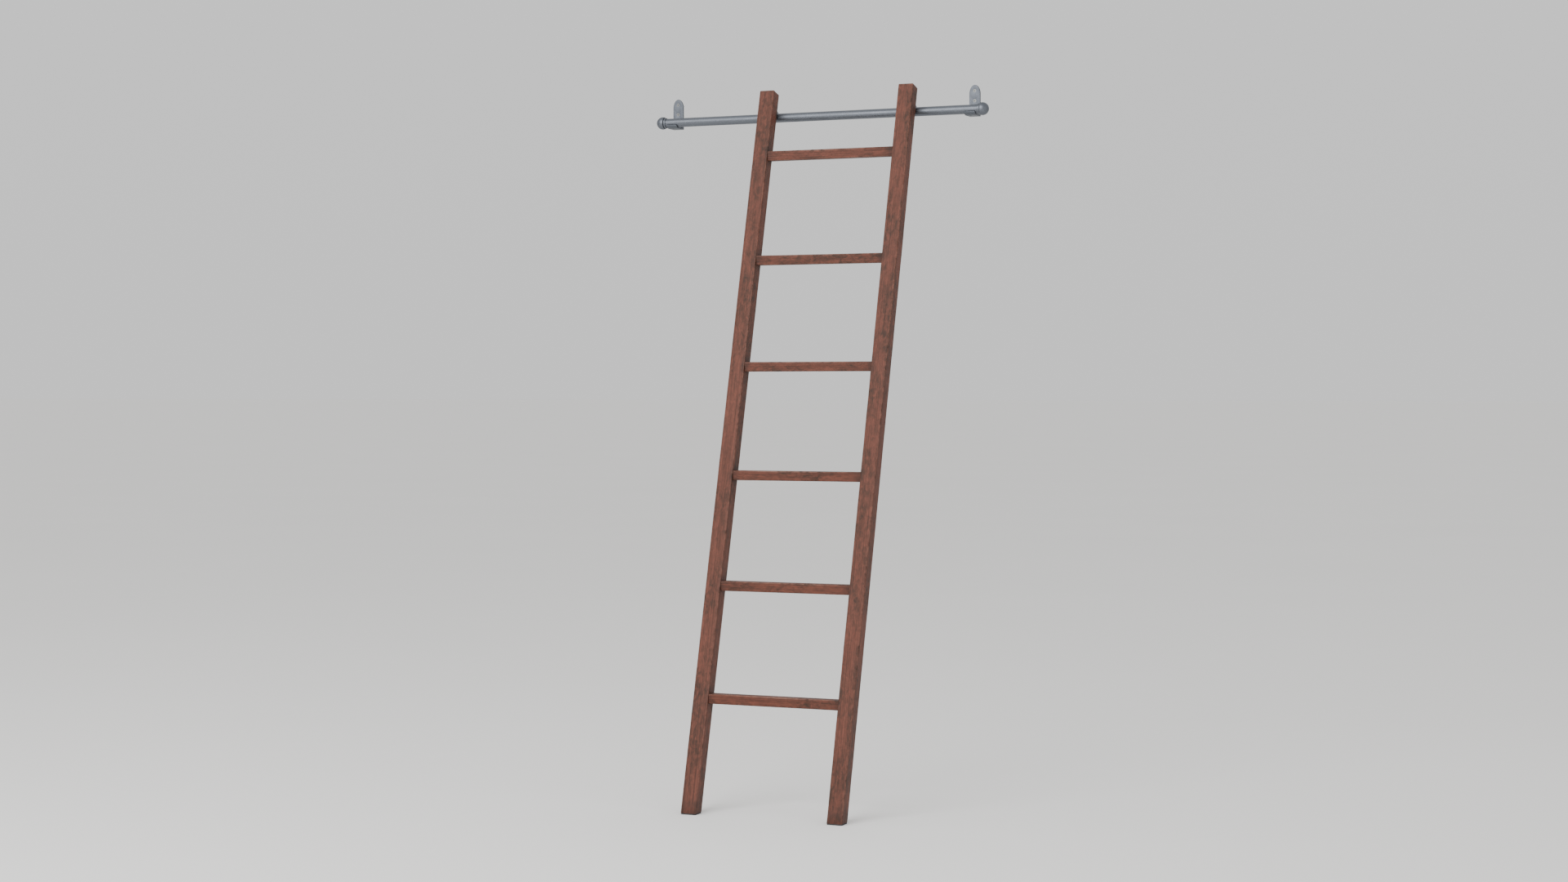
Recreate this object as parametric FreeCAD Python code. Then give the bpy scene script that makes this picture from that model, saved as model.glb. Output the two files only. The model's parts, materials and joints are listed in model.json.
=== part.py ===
"""Hook-on library ladder with one bay of its rail.

Frame: +X along the rail to the right, +Y towards the bookcase, +Z up, millimetres.
The origin is on the floor, at the middle of the space that the whole part takes.

The ladder's own pieces are drawn in a ladder frame: x across, y from the stiles' front
face to their back, z up along the front face from the floor. lean_over() brings them
to the slope at which the ladder stands.
"""

import FreeCAD
import Part
import math
import os

V = FreeCAD.Vector
X_AXIS, Y_AXIS, Z_AXIS = V(1, 0, 0), V(0, 1, 0), V(0, 0, 1)
PARALLEL = 0.999           # least cosine between directions that count as parallel
NEAR = 0.01                # millimetres within which two places count as one

# ---------------------------------------------------------------- ladder
LEAN_DEG = 15.0            # slope of the ladder, from upright
STILE_ABOVE_RAIL = 60.0    # rail's axis to the stiles' tops, along the stiles
STILE_WIDTH = 43.0
STILE_DEPTH = 38.0
STILE_ARRIS = 2.5          # rounding of the stiles' long edges
STILE_TOP_ARRIS = 0.8      # rounding of the stiles' tops, in arrises
LADDER_WIDTH = 451.0       # over both stiles
LADDER_X = 67.0            # middle of the ladder, from the middle of the rail

RUNG_COUNT = 6
RUNG_PITCH = 300.0         # along the stiles
FIRST_RUNG = 303.0         # floor to the middle of the lowest rung, along the stiles
STRAP_ABOVE_RUNG = 20.0    # middle of the top rung to the lower end of the hooks' straps
RUNG_HEIGHT = 26.0
RUNG_SETBACK = 0.8         # rung's edges behind the stile's faces
RUNG_ARRIS = 2.0
TENON_HEIGHT = 16.0
TENON_DEPTH = 20.0
TENON_LENGTH = 30.0
MORTISE_CLEARANCE = 0.1    # round the tenon
MORTISE_EXTRA_DEPTH = 1.5
PEG_RADIUS = 4.0
PEG_CLEARANCE = 0.05
PEG_FRONT_WALL = 5.0       # wood left in front of the peg's hole
PEG_PROUD = 0.6            # peg's end above the stile's back face
PEG_CHAMFER = 0.8          # in proud heights

# ---------------------------------------------------------------- rail
RAIL_RADIUS = 12.5
RAIL_WALL = 2.0
BRACKET_PITCH = 885.0
BRACKET_WIDTH = 31.0
BRACKET_STAND_OFF = 36.0   # rail's axis to the bookcase's face
PLATE_THICKNESS = 5.0
PLATE_RISE = 69.0          # rail's axis to the top of the plate
PLATE_ARCH = 25.0          # height of the plate's curved top
PLATE_ROUNDING = 1.2
SADDLE_THICKNESS = 4.0
SADDLE_CLEARANCE = 0.05
SADDLE_LIP_DEG = 27.0      # lip's end, below the rail's front
SADDLE_LIP_ROUNDING = 1.4
CORNER_RADIUS = 8.0        # inside corner of the saddle's arm and the plate
RAIL_END_GAP = 5.3         # bracket's side to the rail's end

BALL_RADIUS = 17.5
COLLAR_OVERHANG = 2.0      # collar's rim outside the tube
COLLAR_LENGTH = 6.0
COLLAR_ROUNDING = 1.0
BALL_CENTRE = 12.0         # from the rail's end
SPIGOT_GRUB_GAP = 2.0      # spigot's end to the grub screw
SPIGOT_CLEARANCE = 0.05
GRUB_RADIUS = 2.5
GRUB_RECESS = 0.5          # grub screw's end inside the saddle's underside
GRUB_REACH = 0.4           # grub screw's point inside the tube's bore
SOCKET_RADIUS = 0.58       # hexagon socket's corners, in grub screw radii
SOCKET_DEPTH = 0.4         # in grub screw lengths

# ---------------------------------------------------------------- hooks and shoes
SHOE_BORE_CLEARANCE = 0.3
SHOE_THICKNESS = 2.5
SHOE_FLANGE_HEIGHT = 2.7   # flange's rim outside the shoe
SHOE_FLANGE_WIDTH = 2.0
SHOE_OPEN_DEG = 15.0       # shoe's ends, below the rail's axis
HOOK_WIDTH = 22.0
HOOK_THICKNESS = 5.0
HOOK_SHOE_CLEARANCE = 0.3
HOOK_SIDE_CLEARANCE = 0.3
HOOK_TIP_DEG = 8.0         # hook's end, above the ladder frame's level
HOOK_TIP_ROUNDING = 2.2
HOOK_STRAP_LENGTH = 112.0  # below the rail's axis
HOOK_STRAP_ROUNDING = 9.0
HOOK_SCREW_COUNT = 3
HOOK_SCREW_TOP = 38.0      # rail's axis to the highest screw
HOOK_SCREW_MARGIN = 18.0   # lowest screw to the strap's end

# ---------------------------------------------------------------- feet and screws
PAD_THICKNESS = 3.0
PAD_ROUNDING = 3.0
PAD_INSET = 0.5            # pad's edge inside the stile's faces
PAD_SCREW_SPACING = 20.0
SCREW_CLEARANCE = 0.05
SLOT_WIDTH = 1.1
SLOT_REACH = 0.55          # cross slot's half length, in head radii
SLOT_DEPTH = 0.55          # in head heights
POINT_LENGTH = 1.6         # screw's point, in thread radii
POINT_BLUNTNESS = 0.15     # radius of its end, in thread radii
# Radii of a screw's head, of its plain neck and of its thread, and how long and high they are.
HOOK_SCREW = {"length": 32.0, "head": 5.0, "neck": 2.8, "thread": 2.5, "head_height": 3.0}
BRACKET_SCREW = {"length": 40.0, "head": 4.6, "neck": 2.6, "thread": 2.25, "head_height": 2.6}
PAD_SCREW = {"length": 20.0, "head": 3.0, "neck": 1.8, "thread": 1.6, "head_height": 1.4}
BRACKET_SCREW_LOW = 26.0   # rail's axis to the lower screw
BRACKET_SCREW_MARGIN = 16.0   # upper screw to the plate's top
PAD_SCREW_RECESS = 0.6     # head inside the pad's underside

# ---------------------------------------------------------------- worked out
LEAN = math.radians(LEAN_DEG)
RAIL_HEIGHT_ALONG = FIRST_RUNG + (RUNG_COUNT - 1) * RUNG_PITCH + STRAP_ABOVE_RUNG + HOOK_STRAP_LENGTH
STILE_LENGTH = RAIL_HEIGHT_ALONG + STILE_ABOVE_RAIL
STILE_SPACING = LADDER_WIDTH - STILE_WIDTH
STILE_FOOTPRINT = STILE_DEPTH / math.cos(LEAN)
RUNG_DEPTH = STILE_FOOTPRINT - RUNG_HEIGHT * math.tan(LEAN) - 2 * RUNG_SETBACK
SHOE_BORE = RAIL_RADIUS + SHOE_BORE_CLEARANCE
SHOE_RADIUS = SHOE_BORE + SHOE_THICKNESS
SHOE_FLANGE_RADIUS = SHOE_RADIUS + SHOE_FLANGE_HEIGHT
COLLAR_RADIUS = RAIL_RADIUS + COLLAR_OVERHANG
HOOK_INNER = SHOE_RADIUS + HOOK_SHOE_CLEARANCE
HOOK_OUTER = HOOK_INNER + HOOK_THICKNESS
SHOE_LENGTH = HOOK_WIDTH + 2 * (HOOK_SIDE_CLEARANCE + SHOE_FLANGE_WIDTH)
RAIL_BEHIND_FRONT = STILE_DEPTH + HOOK_OUTER
RAIL_LENGTH = BRACKET_PITCH + BRACKET_WIDTH + 2 * RAIL_END_GAP
SPIGOT_LENGTH = BRACKET_WIDTH / 2 + RAIL_END_GAP - GRUB_RADIUS - SPIGOT_GRUB_GAP
STUD_LENGTH = BRACKET_SCREW["length"] - PLATE_THICKNESS

# The rail's axis lies this far behind the foot of the stiles' front face, and this high.
FOOT_TO_RAIL = RAIL_HEIGHT_ALONG * math.sin(LEAN) + RAIL_BEHIND_FRONT * math.cos(LEAN)
RAIL_Z = RAIL_HEIGHT_ALONG * math.cos(LEAN) - RAIL_BEHIND_FRONT * math.sin(LEAN)
# The stiles' front corner stands on the pad, a little behind the front face's floor line.
FRONT_SET = PAD_THICKNESS * math.tan(LEAN)
BACK_REACH = BRACKET_STAND_OFF + STUD_LENGTH
RAIL_Y = (FOOT_TO_RAIL - FRONT_SET - BACK_REACH) / 2
FOOT_Y = RAIL_Y - FOOT_TO_RAIL
WALL_Y = RAIL_Y + BRACKET_STAND_OFF


def lean_over(shape):
    """A shape from the ladder frame, at the slope and place where the ladder stands."""
    shape.rotate(V(0, 0, 0), X_AXIS, -LEAN_DEG)
    shape.translate(V(0, FOOT_Y, 0))
    return shape


def at_rail(shape):
    """A shape drawn round the rail's axis, brought to the rail."""
    shape.translate(V(0, RAIL_Y, RAIL_Z))
    return shape


def profile_prism(edges, width):
    """A closed outline in the YZ plane, as a solid of that width centred on X = 0."""
    face = Part.Face(Part.Wire(edges))
    solid = face.extrude(V(width, 0, 0))
    solid.translate(V(-width / 2, 0, 0))
    return solid


def polar(radius, degrees, y=0.0, z=0.0):
    """A point in the YZ plane: 0 degrees is towards +Y, 90 is up."""
    angle = math.radians(degrees)
    return V(0, y + radius * math.cos(angle), z + radius * math.sin(angle))


def arc(radius, start, end, y=0.0, z=0.0):
    """An arc edge in the YZ plane about (y, z), from one angle to another."""
    middle = polar(radius, (start + end) / 2, y, z)
    return Part.Arc(polar(radius, start, y, z), middle, polar(radius, end, y, z)).toShape()


def line(a, b):
    return Part.LineSegment(a, b).toShape()


def edges_along(shape, axis, at=None):
    """Straight edges parallel to an axis, or those of them that at() accepts."""
    found = []
    for edge in shape.Edges:
        if edge.Curve.TypeId != "Part::GeomLine":
            continue
        a, b = edge.Vertexes[0].Point, edge.Vertexes[-1].Point
        if abs((b - a).normalize().dot(axis)) > PARALLEL and (at is None or at((a + b) / 2)):
            found.append(edge)
    return found


def screw(size, place, direction, through, sink=0.0):
    """A countersunk screw whose plain neck goes through a piece, and its thread beyond it.

    place is the middle of the head's top when sink is 0, and direction is into the work.
    """
    head, neck, thread, depth = size["head"], size["neck"], size["thread"], size["head_height"]
    start = place + direction * sink
    neck_end = place + direction * through
    tip = thread * POINT_LENGTH
    tip_start = start + direction * (size["length"] - tip)
    body = Part.makeCone(head, neck, depth, start, direction).fuse([
        Part.makeCylinder(neck, through - sink - depth, start + direction * depth, direction),
        Part.makeCylinder(thread, (tip_start - neck_end).Length, neck_end, direction),
        Part.makeCone(thread, thread * POINT_BLUNTNESS, tip, tip_start, direction),
    ])
    across = X_AXIS if abs(direction.dot(X_AXIS)) < 0.5 else Z_AXIS
    other = direction.cross(across)
    for way, side in ((across, other), (other, across)):
        corner = start - way * (head * SLOT_REACH) - side * (SLOT_WIDTH / 2) - direction
        slot = Part.Face(Part.makePolygon([
            corner,
            corner + way * (2 * head * SLOT_REACH),
            corner + way * (2 * head * SLOT_REACH) + side * SLOT_WIDTH,
            corner + side * SLOT_WIDTH,
            corner,
        ])).extrude(direction * (depth * SLOT_DEPTH + 1))
        body = body.cut(slot)
    return body.removeSplitter()


def screw_hole(size, place, direction, through, sink=0.0):
    """The countersunk hole that a screw of this size seats in, open at its mouth."""
    head, neck, thread = (size[name] + SCREW_CLEARANCE for name in ("head", "neck", "thread"))
    depth = size["head_height"]
    start = place + direction * sink
    neck_end = place + direction * through
    end = start + direction * size["length"]
    hole = Part.makeCone(head, neck, depth, start, direction).fuse([
        Part.makeCylinder(neck, through - sink - depth, start + direction * depth, direction),
        Part.makeCylinder(thread, (end - neck_end).Length, neck_end, direction),
    ])
    if sink > 0:
        mouth = start - direction * (sink + 1)
        hole = hole.fuse(Part.makeCylinder(head, sink + 1, mouth, direction))
    return hole


# ---------------------------------------------------------------- places that pieces share
def stile_x(side):
    """Middle of a stile: side is -1 for the left one and +1 for the right one."""
    return LADDER_X + side * STILE_SPACING / 2


def rung_centre(number):
    """Middle of a rung's section in the part's own frame, for rung 1 to RUNG_COUNT."""
    z = (FIRST_RUNG + (number - 1) * RUNG_PITCH) * math.cos(LEAN)
    front = FOOT_Y + (z + RUNG_HEIGHT / 2) * math.tan(LEAN) + RUNG_SETBACK
    return front + RUNG_DEPTH / 2, z


def peg_axis(number):
    """A point on a rung's peg at the stile's back face, and the way the peg goes in."""
    y, z = rung_centre(number)
    inwards = V(0, -math.cos(LEAN), math.sin(LEAN))
    along_front = z * math.cos(LEAN) + (y - FOOT_Y) * math.sin(LEAN)
    back = V(0, STILE_DEPTH, along_front)
    back = lean_over(Part.Vertex(back)).Point
    return back, inwards


def peg_x(side):
    return stile_x(side) - side * (STILE_WIDTH / 2 - TENON_LENGTH / 2)


def hook_screw_places(side):
    """Where the hook's screws meet the strap's back face, and the way they go in."""
    places = []
    step = (HOOK_STRAP_LENGTH - HOOK_SCREW_TOP - HOOK_SCREW_MARGIN) / (HOOK_SCREW_COUNT - 1)
    for number in range(HOOK_SCREW_COUNT):
        drop = HOOK_SCREW_TOP + number * step
        point = V(stile_x(side), STILE_DEPTH + HOOK_THICKNESS, RAIL_HEIGHT_ALONG - drop)
        places.append(lean_over(Part.Vertex(point)).Point)
    return places, V(0, -math.cos(LEAN), math.sin(LEAN))


def pad_screw_places(side):
    """Where the foot's two screws start on the floor side."""
    y = FOOT_Y + FRONT_SET + STILE_FOOTPRINT / 2
    return [V(stile_x(side), y + k * PAD_SCREW_SPACING / 2, 0) for k in (-1, 1)]


def bracket_x(side):
    return side * BRACKET_PITCH / 2


def bracket_screw_places(side):
    """Where the bracket's screws meet the plate's front face."""
    y = WALL_Y - PLATE_THICKNESS
    rises = (BRACKET_SCREW_LOW, PLATE_RISE - BRACKET_SCREW_MARGIN)
    return [V(bracket_x(side), y, RAIL_Z + rise) for rise in rises]


# ---------------------------------------------------------------- ladder
def rung_block(number, height, depth, length, x):
    """A level bar about a rung's middle, from x to x + length."""
    y, z = rung_centre(number)
    return Part.makeBox(length, depth, height, V(x, y - depth / 2, z - height / 2))


def stile(side):
    """A stile: level foot, square top, blind mortises, and holes for pegs and screws."""
    blank = Part.makeBox(STILE_WIDTH, STILE_DEPTH, STILE_LENGTH + STILE_DEPTH,
                         V(stile_x(side) - STILE_WIDTH / 2, 0, -STILE_DEPTH))
    blank = blank.makeFillet(STILE_ARRIS, edges_along(blank, Z_AXIS))
    top_edges = [e for e in blank.Edges if e.BoundBox.ZMin > STILE_LENGTH - NEAR]
    body = lean_over(blank.makeFillet(STILE_ARRIS * STILE_TOP_ARRIS, top_edges))
    corner = V(stile_x(side) - STILE_WIDTH, FOOT_Y - STILE_DEPTH, PAD_THICKNESS - STILE_DEPTH * 2)
    below = Part.makeBox(STILE_WIDTH * 2, STILE_DEPTH * 4, STILE_DEPTH * 2, corner)
    body = body.cut(below)
    mortise_length = TENON_LENGTH + MORTISE_EXTRA_DEPTH
    inner = stile_x(side) - side * STILE_WIDTH / 2
    cuts = []
    for number in range(1, RUNG_COUNT + 1):
        x = inner if side > 0 else inner - mortise_length
        cuts.append(rung_block(number, TENON_HEIGHT + 2 * MORTISE_CLEARANCE,
                               TENON_DEPTH + 2 * MORTISE_CLEARANCE, mortise_length, x))
        point, inwards = peg_axis(number)
        point.x = peg_x(side)
        cuts.append(Part.makeCylinder(PEG_RADIUS + PEG_CLEARANCE, STILE_DEPTH - PEG_FRONT_WALL + 1,
                                      point - inwards, inwards))
    places, inwards = hook_screw_places(side)
    cuts += [screw_hole(HOOK_SCREW, p, inwards, HOOK_THICKNESS) for p in places]
    cuts += pad_screw_holes(side)
    return body.cut(Part.makeCompound(cuts))


def rung(number):
    """A level rung with a shouldered tenon at each end, drilled for its two pegs."""
    inner = STILE_SPACING - STILE_WIDTH
    bar = rung_block(number, RUNG_HEIGHT, RUNG_DEPTH, inner, LADDER_X - inner / 2)
    bar = bar.makeFillet(RUNG_ARRIS, edges_along(bar, X_AXIS))
    full = inner + 2 * TENON_LENGTH
    bar = bar.fuse(rung_block(number, TENON_HEIGHT, TENON_DEPTH, full, LADDER_X - full / 2))
    for side in (-1, 1):
        point, inwards = peg_axis(number)
        point.x = peg_x(side)
        bar = bar.cut(Part.makeCylinder(PEG_RADIUS + PEG_CLEARANCE, STILE_DEPTH * 2,
                                        point - inwards * STILE_DEPTH / 2, inwards))
    return bar


def rung_pegs(side):
    """The wooden pegs that pin one stile's tenons, driven in from the back."""
    pegs = []
    length = STILE_DEPTH - PEG_FRONT_WALL + PEG_PROUD
    for number in range(1, RUNG_COUNT + 1):
        point, inwards = peg_axis(number)
        point.x = peg_x(side)
        peg = Part.makeCylinder(PEG_RADIUS, length, point - inwards * PEG_PROUD, inwards)
        ends = [e for e in peg.Edges if e.Curve.TypeId == "Part::GeomCircle"]
        pegs.append(peg.makeChamfer(PEG_PROUD * PEG_CHAMFER, ends))
    return Part.makeCompound(pegs)


def pad_screw_holes(side):
    return [screw_hole(PAD_SCREW, place, Z_AXIS, PAD_THICKNESS, PAD_SCREW_RECESS)
            for place in pad_screw_places(side)]


def foot_pad(side):
    """The rubber pad under a stile, cut to the stile's level foot."""
    width, depth = STILE_WIDTH - 2 * PAD_INSET, STILE_FOOTPRINT - 2 * PAD_INSET
    y = FOOT_Y + FRONT_SET + PAD_INSET
    pad = Part.makeBox(width, depth, PAD_THICKNESS, V(stile_x(side) - width / 2, y, 0))
    pad = pad.makeFillet(min(PAD_ROUNDING, width / 4), edges_along(pad, Z_AXIS))
    return pad.cut(Part.makeCompound(pad_screw_holes(side)))


def foot_screws(side):
    return Part.makeCompound([screw(PAD_SCREW, place, Z_AXIS, PAD_THICKNESS, PAD_SCREW_RECESS)
                              for place in pad_screw_places(side)])


# ---------------------------------------------------------------- hooks and shoes
def hook(side):
    """A flat bar screwed to the back of a stile and bent over the rail."""
    y, z = RAIL_BEHIND_FRONT, RAIL_HEIGHT_ALONG
    bottom = z - HOOK_STRAP_LENGTH
    outline = [
        line(V(0, y - HOOK_OUTER, bottom), V(0, y - HOOK_OUTER, z)),
        arc(HOOK_OUTER, 180, HOOK_TIP_DEG, y, z),
        line(polar(HOOK_OUTER, HOOK_TIP_DEG, y, z), polar(HOOK_INNER, HOOK_TIP_DEG, y, z)),
        arc(HOOK_INNER, HOOK_TIP_DEG, 180, y, z),
        line(V(0, y - HOOK_INNER, z), V(0, y - HOOK_INNER, bottom)),
        line(V(0, y - HOOK_INNER, bottom), V(0, y - HOOK_OUTER, bottom)),
    ]
    bar = profile_prism(outline, HOOK_WIDTH)
    tip = edges_along(bar, X_AXIS, lambda p: p.y > y)
    bar = bar.makeFillet(HOOK_TIP_ROUNDING, tip)
    corners = edges_along(bar, Y_AXIS, lambda p: p.z < bottom + NEAR)
    bar = bar.makeFillet(HOOK_STRAP_ROUNDING, corners)
    bar.translate(V(stile_x(side), 0, 0))
    places, inwards = hook_screw_places(side)
    holes = [screw_hole(HOOK_SCREW, p, inwards, HOOK_THICKNESS) for p in places]
    return lean_over(bar).cut(Part.makeCompound(holes))


def hook_screws(side):
    places, inwards = hook_screw_places(side)
    return Part.makeCompound([screw(HOOK_SCREW, p, inwards, HOOK_THICKNESS) for p in places])


def ring_sector(inner, outer, start, end, width):
    """Part of a ring about the rail's axis, between two angles in the YZ plane."""
    return profile_prism([
        arc(outer, start, end),
        line(polar(outer, end), polar(inner, end)),
        arc(inner, end, start),
        line(polar(inner, start), polar(outer, start)),
    ], width)


def glide_shoe(side):
    """The plastic saddle that slides on the rail inside a hook."""
    start, end = -SHOE_OPEN_DEG, 180 + SHOE_OPEN_DEG
    shoe = ring_sector(SHOE_BORE, SHOE_RADIUS, start, end, SHOE_LENGTH)
    for way in (-1, 1):
        flange = ring_sector(SHOE_BORE, SHOE_FLANGE_RADIUS, start, end, SHOE_FLANGE_WIDTH)
        flange.translate(V(way * (SHOE_LENGTH - SHOE_FLANGE_WIDTH) / 2, 0, 0))
        shoe = shoe.fuse(flange)
    shoe = shoe.removeSplitter()
    shoe.translate(V(stile_x(side), 0, 0))
    return at_rail(shoe)


# ---------------------------------------------------------------- rail
def grub_hole(side, radius):
    return Part.makeCylinder(radius, RAIL_RADIUS + SADDLE_THICKNESS + 1,
                             V(bracket_x(side), 0, -RAIL_RADIUS - SADDLE_THICKNESS - 1), Z_AXIS)


def rail_tube():
    start = V(-RAIL_LENGTH / 2, 0, 0)
    tube = Part.makeCylinder(RAIL_RADIUS, RAIL_LENGTH, start, X_AXIS)
    tube = tube.cut(Part.makeCylinder(RAIL_RADIUS - RAIL_WALL, RAIL_LENGTH, start, X_AXIS))
    for side in (-1, 1):
        tube = tube.cut(grub_hole(side, GRUB_RADIUS + SCREW_CLEARANCE))
    return at_rail(tube)


def bracket(side):
    """A plate with an arched top, and a saddle that carries the rail from below."""
    inner = RAIL_RADIUS + SADDLE_CLEARANCE
    outer = inner + SADDLE_THICKNESS
    back, front = BRACKET_STAND_OFF, BRACKET_STAND_OFF - PLATE_THICKNESS
    lip = 180 + SADDLE_LIP_DEG
    outline = [
        line(V(0, back, -outer), V(0, back, PLATE_RISE)),
        line(V(0, back, PLATE_RISE), V(0, front, PLATE_RISE)),
        line(V(0, front, PLATE_RISE), V(0, front, -inner + CORNER_RADIUS)),
        arc(CORNER_RADIUS, 0, -90, front - CORNER_RADIUS, -inner + CORNER_RADIUS),
        line(V(0, front - CORNER_RADIUS, -inner), V(0, 0, -inner)),
        arc(inner, 270, lip),
        line(polar(inner, lip), polar(outer, lip)),
        arc(outer, lip, 270),
        line(V(0, 0, -outer), V(0, back, -outer)),
    ]
    body = profile_prism(outline, BRACKET_WIDTH)
    body = body.makeFillet(SADDLE_LIP_ROUNDING, edges_along(body, X_AXIS, lambda p: p.y < -inner / 2))
    # The arch is cut through the plate as seen from the front.
    half, spring = BRACKET_WIDTH / 2, PLATE_RISE - PLATE_ARCH
    flat, tall = (half, PLATE_ARCH) if half > PLATE_ARCH else (PLATE_ARCH, half)
    ellipse = Part.Ellipse(V(0, 0, 0), flat, tall)
    crown = Part.Face(Part.Wire(ellipse.toShape())).extrude(V(0, 0, BRACKET_STAND_OFF * 3))
    crown.rotate(V(0, 0, 0), X_AXIS, -90)
    if half <= PLATE_ARCH:
        crown.rotate(V(0, 0, 0), Y_AXIS, 90)
    crown.translate(V(0, -BRACKET_STAND_OFF, spring))
    stem = Part.makeBox(BRACKET_WIDTH, BRACKET_STAND_OFF * 3, spring + outer * 2,
                        V(-half, -BRACKET_STAND_OFF, -outer * 2))
    body = body.common(crown.fuse(stem)).removeSplitter()
    face_edges = [e for e in body.Edges
                  if abs(e.BoundBox.YMin - front) < NEAR and abs(e.BoundBox.YMax - front) < NEAR
                  and e.BoundBox.ZMax > 0 and e.BoundBox.ZLength > 1]
    body = body.makeFillet(PLATE_ROUNDING, face_edges)
    body.translate(V(bracket_x(side), 0, 0))
    body = body.cut(grub_hole(side, GRUB_RADIUS + SCREW_CLEARANCE))
    body = at_rail(body)
    holes = [screw_hole(BRACKET_SCREW, place, Y_AXIS, PLATE_THICKNESS)
             for place in bracket_screw_places(side)]
    return body.cut(Part.makeCompound(holes))


def bracket_screws(side):
    return Part.makeCompound([screw(BRACKET_SCREW, place, Y_AXIS, PLATE_THICKNESS)
                              for place in bracket_screw_places(side)])


def end_ball(side):
    """The turned cap of a rail end: a collar and a ball, on a spigot inside the tube."""
    def at(along, radius):
        return V(side * (RAIL_LENGTH / 2 + along), 0, radius)

    spigot = RAIL_RADIUS - RAIL_WALL - SPIGOT_CLEARANCE
    rounding = COLLAR_ROUNDING * (1 - math.sqrt(0.5))
    back = math.acos((COLLAR_LENGTH - BALL_CENTRE) / BALL_RADIUS)
    shoulder = at(COLLAR_LENGTH, BALL_RADIUS * math.sin(back))
    bulge = at(BALL_CENTRE + BALL_RADIUS * math.cos(back / 2), BALL_RADIUS * math.sin(back / 2))
    nose = at(BALL_CENTRE + BALL_RADIUS, 0)
    outline = [
        line(at(-SPIGOT_LENGTH, 0), at(-SPIGOT_LENGTH, spigot)),
        line(at(-SPIGOT_LENGTH, spigot), at(0, spigot)),
        line(at(0, spigot), at(0, COLLAR_RADIUS - COLLAR_ROUNDING)),
        Part.Arc(at(0, COLLAR_RADIUS - COLLAR_ROUNDING), at(rounding, COLLAR_RADIUS - rounding),
                 at(COLLAR_ROUNDING, COLLAR_RADIUS)).toShape(),
        line(at(COLLAR_ROUNDING, COLLAR_RADIUS), at(COLLAR_LENGTH, COLLAR_RADIUS)),
        line(at(COLLAR_LENGTH, COLLAR_RADIUS), shoulder),
        Part.Arc(shoulder, bulge, nose).toShape(),
        line(nose, at(-SPIGOT_LENGTH, 0)),
    ]
    turned = Part.Face(Part.Wire(outline)).revolve(V(0, 0, 0), X_AXIS, 360)
    if turned.Volume < 0:
        turned.reverse()
    return at_rail(turned)


def rail_grub_screws():
    """The two grub screws that hold the tube in its saddles, driven in from below."""
    screws = []
    bottom = -RAIL_RADIUS - SADDLE_CLEARANCE - SADDLE_THICKNESS + GRUB_RECESS
    top = -RAIL_RADIUS + RAIL_WALL + GRUB_REACH
    for side in (-1, 1):
        grub = Part.makeCylinder(GRUB_RADIUS, top - bottom, V(bracket_x(side), 0, bottom), Z_AXIS)
        across = GRUB_RADIUS * SOCKET_RADIUS
        corners = [V(bracket_x(side) + across * math.cos(math.radians(60 * k)),
                     across * math.sin(math.radians(60 * k)), bottom) for k in range(7)]
        socket = Part.Face(Part.makePolygon(corners)).extrude(V(0, 0, (top - bottom) * SOCKET_DEPTH))
        screws.append(at_rail(grub.cut(socket)))
    return Part.makeCompound(screws)


def build():
    """Every piece by the name of its node."""
    pieces = {"rail_tube": rail_tube(), "rail_grub_screws": rail_grub_screws()}
    for name, side in (("left", -1), ("right", 1)):
        pieces[name + "_bracket"] = bracket(side)
        pieces[name + "_bracket_screws"] = bracket_screws(side)
        pieces[name + "_end_ball"] = end_ball(side)
        pieces[name + "_glide_shoe"] = glide_shoe(side)
        pieces[name + "_hook"] = hook(side)
        pieces[name + "_hook_screws"] = hook_screws(side)
        pieces[name + "_stile"] = stile(side)
        pieces[name + "_rung_pegs"] = rung_pegs(side)
        pieces[name + "_foot_pad"] = foot_pad(side)
        pieces[name + "_foot_screws"] = foot_screws(side)
    for number in range(1, RUNG_COUNT + 1):
        pieces["rung_%d" % number] = rung(number)
    return pieces


def main():
    os.makedirs("parts", exist_ok=True)
    for name, shape in build().items():
        if not shape.isValid():
            raise ValueError(name + " is not a valid shape")
        shape.exportStep("parts/%s.step" % name)
        print("%-22s solids %d  volume %10.1f" % (name, len(shape.Solids), shape.Volume))
    print("rail axis y %.3f z %.3f  wall y %.3f  foot y %.3f" % (RAIL_Y, RAIL_Z, WALL_Y, FOOT_Y))


main()
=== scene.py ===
"""A wooden library ladder on one bay of its steel rail, finished for looking at.

Everything is in metres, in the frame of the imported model: +X along the rail, +Y towards
the bookcase, +Z up from the floor.
"""

import json
import math

import bmesh
import bpy
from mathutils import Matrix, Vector, noise


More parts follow.
